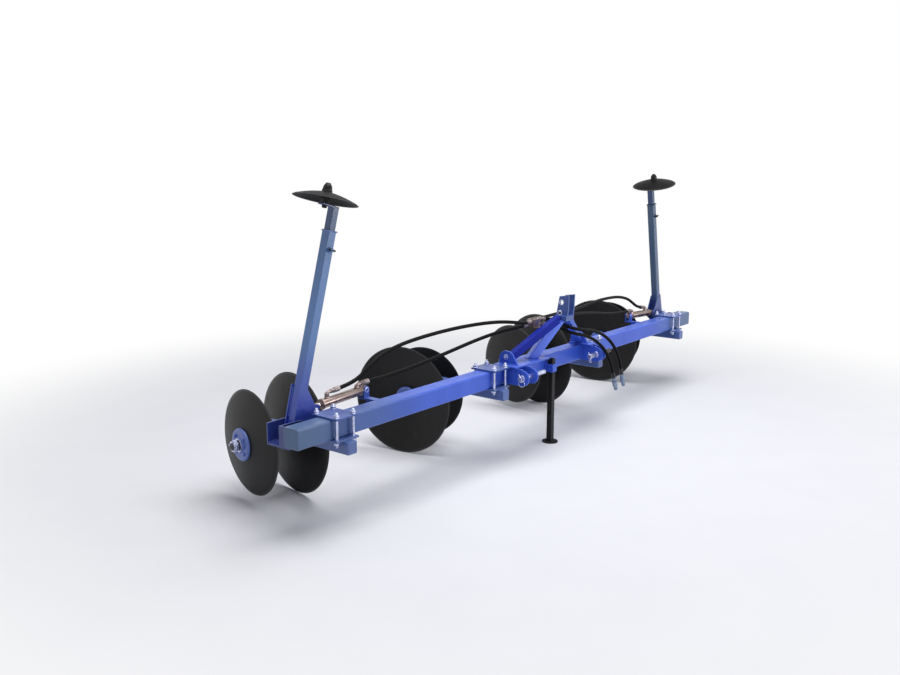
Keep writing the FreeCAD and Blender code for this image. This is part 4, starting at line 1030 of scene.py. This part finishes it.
marker_black = disc_finish("satin_black_marker_disc", (0.0045, 0.0045, 0.0052), (0.0070, 0.0070, 0.0078), 640.0, 0.05,
                           0.02)
set_screw = turned([(0, 0.0045), (0.0015, 0.0052), (0.040, 0.0052), (0.0415, 0.0045)], 16)
top = RIM_AT + 0.035
hub_parts = [
    turned([(1.0766, 0.0103), (1.0766, 0.0186), (1.0790, 0.0200), (top - 0.0050, 0.0200), (top - 0.0042, 0.0255),
            (top - 0.0040, 0.0103)], 36, True),
    turned([(top - 0.0002, 0.0103), (top - 0.0002, 0.0260), (top + 0.0080, 0.0260), (top + 0.0125, 0.0235),
            (top + 0.0140, 0.0190), (top + 0.0140, 0.0103)], 40, True),
    turned([(top + 0.0138, 0.0225), (top + 0.0240, 0.0225), (top + 0.0330, 0.0195), (top + 0.0410, 0.0145),
            (top + 0.0455, 0.0110), (top + 0.0470, 0.0098)], 36)]
for side, word in ((-1, "left"), (1, "right")):
    pivot, inboard, front, up = on_marker(side)
    arm, slide = f"marker_{word}", f"marker_{word}_extension"
    eased_copy(f"marker_arm_{word}_tube", f"marker_arm_{word}", 0.0012, marker_blue[side], body=arm)
    eased_copy(f"marker_slide_{word}", f"marker_extension_{word}", 0.0010, slide_blue, body=slide)
    h = MARKER_HALF + 0.0008
    boss = pivot + up * (MARKER_LEN - 0.095) + front * (MARKER_HALF + 0.0005)
    welds = [square_bead(pivot + up * (MARKER_LEN - 0.004), inboard * h, front * h, 0.0034),
             bead(spots_round(boss, inboard, up, 0.0118, circle(13)), 0.0026, True)]
    for face in (-1, 1):
        y = MARKER_Y + face * (MARKER_HALF - 0.0027)
        for across in (-1, 1):
            (x0, _, z0), (x1, _, z1) = [pivot + up * at + inboard * (across * MARKER_HALF) for at in GUSSET_WELD]
            welds.append(bead([(x0, y, z0), (x1, y, z1)], 0.0034))
    solid(f"marker_arm_{word}_welds", welds, marker_blue[side], arm, 60)

    lock = put_all(hex_bolt(0.017, 0.0105), boss + front * 0.010, front)
    lock.append(put(set_screw, boss + front * 0.0170 - inboard * 0.0207, inboard))
    solid(f"marker_lock_bolt_{word}", lock, black, arm)

    centre = pivot - inboard * STUB_OUT
    plate = dish(MARKER_DISC_R, 0.035, 0.004, 0.040, 0.0145, 0.010, 96)
    solid(f"marker_dish_{word}", [put(plate, centre + up * RIM_AT, -up)], marker_black,
          f"marker_{word}_disc", 24, [MARKER_DISC_R], f"marker_disc_{word}")
    hub = put_all(hub_parts, centre, up)
    for spot in spots_round(centre + up * (top + 0.0122), inboard, front, 0.0205, QUARTERS):
        hub += put_all(hex_bolt(0.008, 0.0034), spot, up)
    solid(f"marker_hub_{word}", hub, black, f"marker_{word}_disc")
    solid(f"marker_axle_nut_{word}", put_all(hex_bolt(0.022, 0.0130, 0.0, 0.0145), centre + up * 1.0682, -up), black,
          slide)


# Marker brackets: two ears and a base plate behind the toolbar, with the 24 mm pin on which the marker folds.
# A washer closes the pin in front and a hexagon behind, and three bolts hold the base plate's foot to the toolbar.
GUSSET_T, EAR_GAP, BRACKET_T = 0.008, 0.006, 0.008
EAR_BACK = MARKER_HALF + GUSSET_T + EAR_GAP + BRACKET_T
# The brackets' dark navy is painted shade.
eased_copy("marker_bracket_plates", "marker_brackets", 0.0014, bracket_painted_shade)
bracket_bolts, bracket_beads = [], []
for side in (-1, 1):
    x = side * MARKER_X
    pin_end = turned([(0, 0.0122), (0.0012, 0.0122), (0.0030, 0.0105)], 28)
    for part, y in ((washer(0.0125, 0.0185, 0.0028), EAR_BACK), (pin_end, EAR_BACK + 0.0052)):
        bracket_bolts.append(put(part, (x, MARKER_Y - y, MARKER_Z), (0, -1, 0)))
    bracket_bolts += put_all(hex_bolt(0.030, 0.0035), (x, MARKER_Y + EAR_BACK + 0.0075, MARKER_Z), (0, 1, 0))
    outer, inner = side * (MARKER_X + 0.130), side * (MARKER_X - 0.044)
    for dx, z in ((0.024, 0.478), (0.024, 0.520), (0.060, 0.520)):
        spot = (outer - side * dx, BAR_BACK + BRACKET_T, z)
        bracket_bolts += put_all(hex_bolt(0.017, 0.009, 0.0, 0.012), spot, (0, 1, 0))
    for y in (MARKER_Y - EAR_BACK, MARKER_Y + EAR_BACK - BRACKET_T):
        for face in (0.0, BRACKET_T):
            ends = [(x, y + face, 0.4505) for x in (outer - side * 0.004, inner + side * 0.004)]
            bracket_beads.append(bead(ends, 0.0036))
solid("marker_bracket_bolts", bracket_bolts, zinc)
solid("marker_bracket_welds", bracket_beads, bracket_painted_shade, sharp=60)


# Marker cylinders: honed tube sprayed copper, with a screwed gland, a base eye and two elbow ports.
# The rod is hard chromed with a forged eye; a washer and a sprung ring close each end of the base pin.
CYL_BASE_X, CYL_BASE_Z = 1.457, 0.595
EYE_X, EYE_Z = 1.817, 0.575
BARREL_R, BARREL_LEN, GLAND_R, GLAND_T = 0.025, 0.308, 0.028, 0.012
GLAND_AT = BARREL_LEN - GLAND_T
# Each port: its place along the tube, the height of its elbow, the height of its nut.
PORTS = ((0.262, 0.050, 0.0200), (0.050, 0.037, 0.0075))
BASE_EAR = 0.0205


def copper_finish():
    """Copper paint over a drawn tube: streaks along the tube, warm clouds, a dark stain near the welds."""
    material, shader, place, _ = new_finish("copper_barrel", Metallic=0.85, Coat_Roughness=0.08)
    own = place.attribute("own", 1)
    drawn = own.noise(1.0, 4.0, 0.6, (240.0, 240.0, 9.0))
    cloud = place.noise(16.0, 4.0, 0.6)
    heat = own.axis("Z").rise(0.060, 0.022) + own.axis("Z").rise(0.262, 0.300)
    colour = (cloud * 0.6 + drawn * 0.4).rise(0.32, 0.68).tint((0.20, 0.145, 0.130), (0.36, 0.275, 0.250))
    colour = (heat * 0.45).tint(colour, (0.20, 0.115, 0.080))
    feed(shader, Base_Color=colour, Roughness=0.20 + 0.14 * cloud, Coat_Weight=0.30 + 0.2 * cloud,
         Normal=(drawn * 0.6 + cloud * 0.4).bump(0.15, 0.0005))
    return material


copper = copper_finish()
chrome = plated_finish("hard_chrome_rod", (0.80, 0.78, 0.80), (0.68, 0.64, 0.67), 0.07, 1.0)


def elbow(at, height):
    """Port elbow: up out of its boss, a quarter bend, and back along the barrel to the swivel nut."""
    bend = 0.013
    a = np.linspace(0.0, np.pi / 2, 8)
    rise = np.stack([np.full(3, at), np.zeros(3), np.linspace(0.020, height - bend, 3)], -1)
    curve = np.stack([at - bend + bend * np.cos(a), 0 * a, height - bend + bend * np.sin(a)], -1)
    back = np.stack([np.linspace(at - bend, at - 0.030, 4)[1:], np.zeros(3), np.full(3, height)], -1)
    return skin(tube_grid(np.concatenate([rise, curve[1:], back]), 0.0088, 20))


t = circle(64)
slots = 0.0016 * (np.abs((t * 6 / (2 * np.pi)) % 1.0 - 0.5) < 0.10)
gland = rings([(h, r - slots if r > 0.026 else r) for h, r in (
    (GLAND_AT - 0.002, GLAND_R - 0.0012), (GLAND_AT - 0.0008, GLAND_R), (BARREL_LEN - 0.002, GLAND_R),
    (BARREL_LEN - 0.0002, GLAND_R - 0.0018), (BARREL_LEN - 0.0002, 0.0150), (BARREL_LEN + 0.0025, 0.0145),
    (BARREL_LEN + 0.0030, 0.0122), (GLAND_AT - 0.002, 0.0122))], t, True)
barrel_parts = [
    turned([(0.030, 0.0145), (0.024, 0.0185), (0.0285, BARREL_R - 0.001), (0.0305, BARREL_R),
            (GLAND_AT - 0.004, BARREL_R), (GLAND_AT - 0.003, BARREL_R - 0.001), (GLAND_AT - 0.003, 0.0130)], 44, True),
    turned([(0.0285, BARREL_R - 0.001), (0.031, BARREL_R + 0.0022), (0.035, BARREL_R + 0.0024),
            (0.038, BARREL_R - 0.0004)], 44)]
base_eye = soft_ring(-0.0118, 0.0118, 0.0095, 0.0210, 0.0010)
neck = turned([(0.012, 0.0110), (0.026, 0.0160), (0.031, 0.0175)], 28)
saddle = turned([(0.0215, 0.0150), (0.0262, 0.0145), (0.0280, 0.0120), (0.0300, 0.0118)], 28)
eye_parts = [soft_ring(-0.0178, 0.0178, 0.0100, 0.0200, 0.0014),
             turned([(-0.0246, 0.0088), (-0.0236, 0.0099), (0.0236, 0.0099), (0.0246, 0.0088)], 28)]
for side, word in ((-1, "left"), (1, "right")):
    base = np.array([side * CYL_BASE_X, MARKER_Y, CYL_BASE_Z])
    eye_at = np.array([side * EYE_X, MARKER_Y, EYE_Z])
    length = float(np.linalg.norm(eye_at - base))
    run = (eye_at - base) / length
    lift = np.array([-run[2] * np.sign(run[0]), 0.0, abs(run[0])])
    body = f"cylinder_{word}"
    solid(f"cylinder_tube_{word}", put_all(barrel_parts, base, run), copper, body, 30,
          node=f"barrel_{word}")

    fit = [put(gland, base, run), put(base_eye, base, (0, 1, 0)), put(neck, base, run)]
    for at, height, nut_h in PORTS:
        port = base + run * at
        fit.append(put(saddle, port, lift))
        fit.append(put(hex_nut(0.0225, nut_h, 0.0010), port + lift * 0.0290, lift, 0.2))
        points, faces = elbow(at, height)
        fit.append((points @ np.array([run, np.cross(lift, run), lift]) + base, faces, points))
        fit.append(put(hex_nut(0.0215, 0.0125, 0.0010), port - run * 0.0265 + lift * height, -run, 0.1))
    solid(f"cylinder_fittings_{word}", fit, rose_brass, body, 30)

    stem = turned([(0.070, 0.0119), (length - 0.0150, 0.0119)], 36)
    solid(f"cylinder_rod_{word}", [put(stem, base, run)], chrome, f"ram_{word}", node=f"rod_{word}")
    shank = turned([(length - 0.034, 0.0125), (length - 0.032, 0.0150), (length - 0.020, 0.0152),
                    (length - 0.012, 0.0120)], 30)
    solid(f"cylinder_rod_eye_{word}", [put(shank, base, run), *put_all(eye_parts, eye_at, (0, 1, 0))], rose_brass,
          f"ram_{word}")

eased_copy("cylinder_bracket_ears", "cylinder_brackets", 0.0010, blue)
a = np.linspace(0.25, 2 * np.pi - 0.25, 26)
clip = skin(tube_grid(np.stack([0.0098 * np.cos(a), 0.0098 * np.sin(a), 0 * a + 0.0034], -1), 0.0010, 8))
ear_parts = []
for side in (-1, 1):
    for way in (-1, 1):
        face = (side * CYL_BASE_X, MARKER_Y + way * BASE_EAR, CYL_BASE_Z)
        ear_parts += put_all([washer(0.0092, 0.0150, 0.0022), clip], face, (0, way, 0))
solid("cylinder_pin_washers", ear_parts, zinc)


# Hose block: a drilled steel block on a tab that is welded to the left rear brace; six hoses screw into it.
BLOCK_X, BLOCK_Y, BLOCK_Z = -0.143, BAR_FRONT + 0.022, 0.786
eased_copy("hose_block", "tee_block", 0.0014, rose_brass)
plugs = []
for dx in (-0.018, 0.018):
    plugs += put_all(hex_bolt(0.014, 0.008, 0.0, 0.010), (BLOCK_X + dx, BLOCK_Y, BLOCK_Z + 0.022), UP)
solid("hose_block_plugs", plugs, dull_steel)
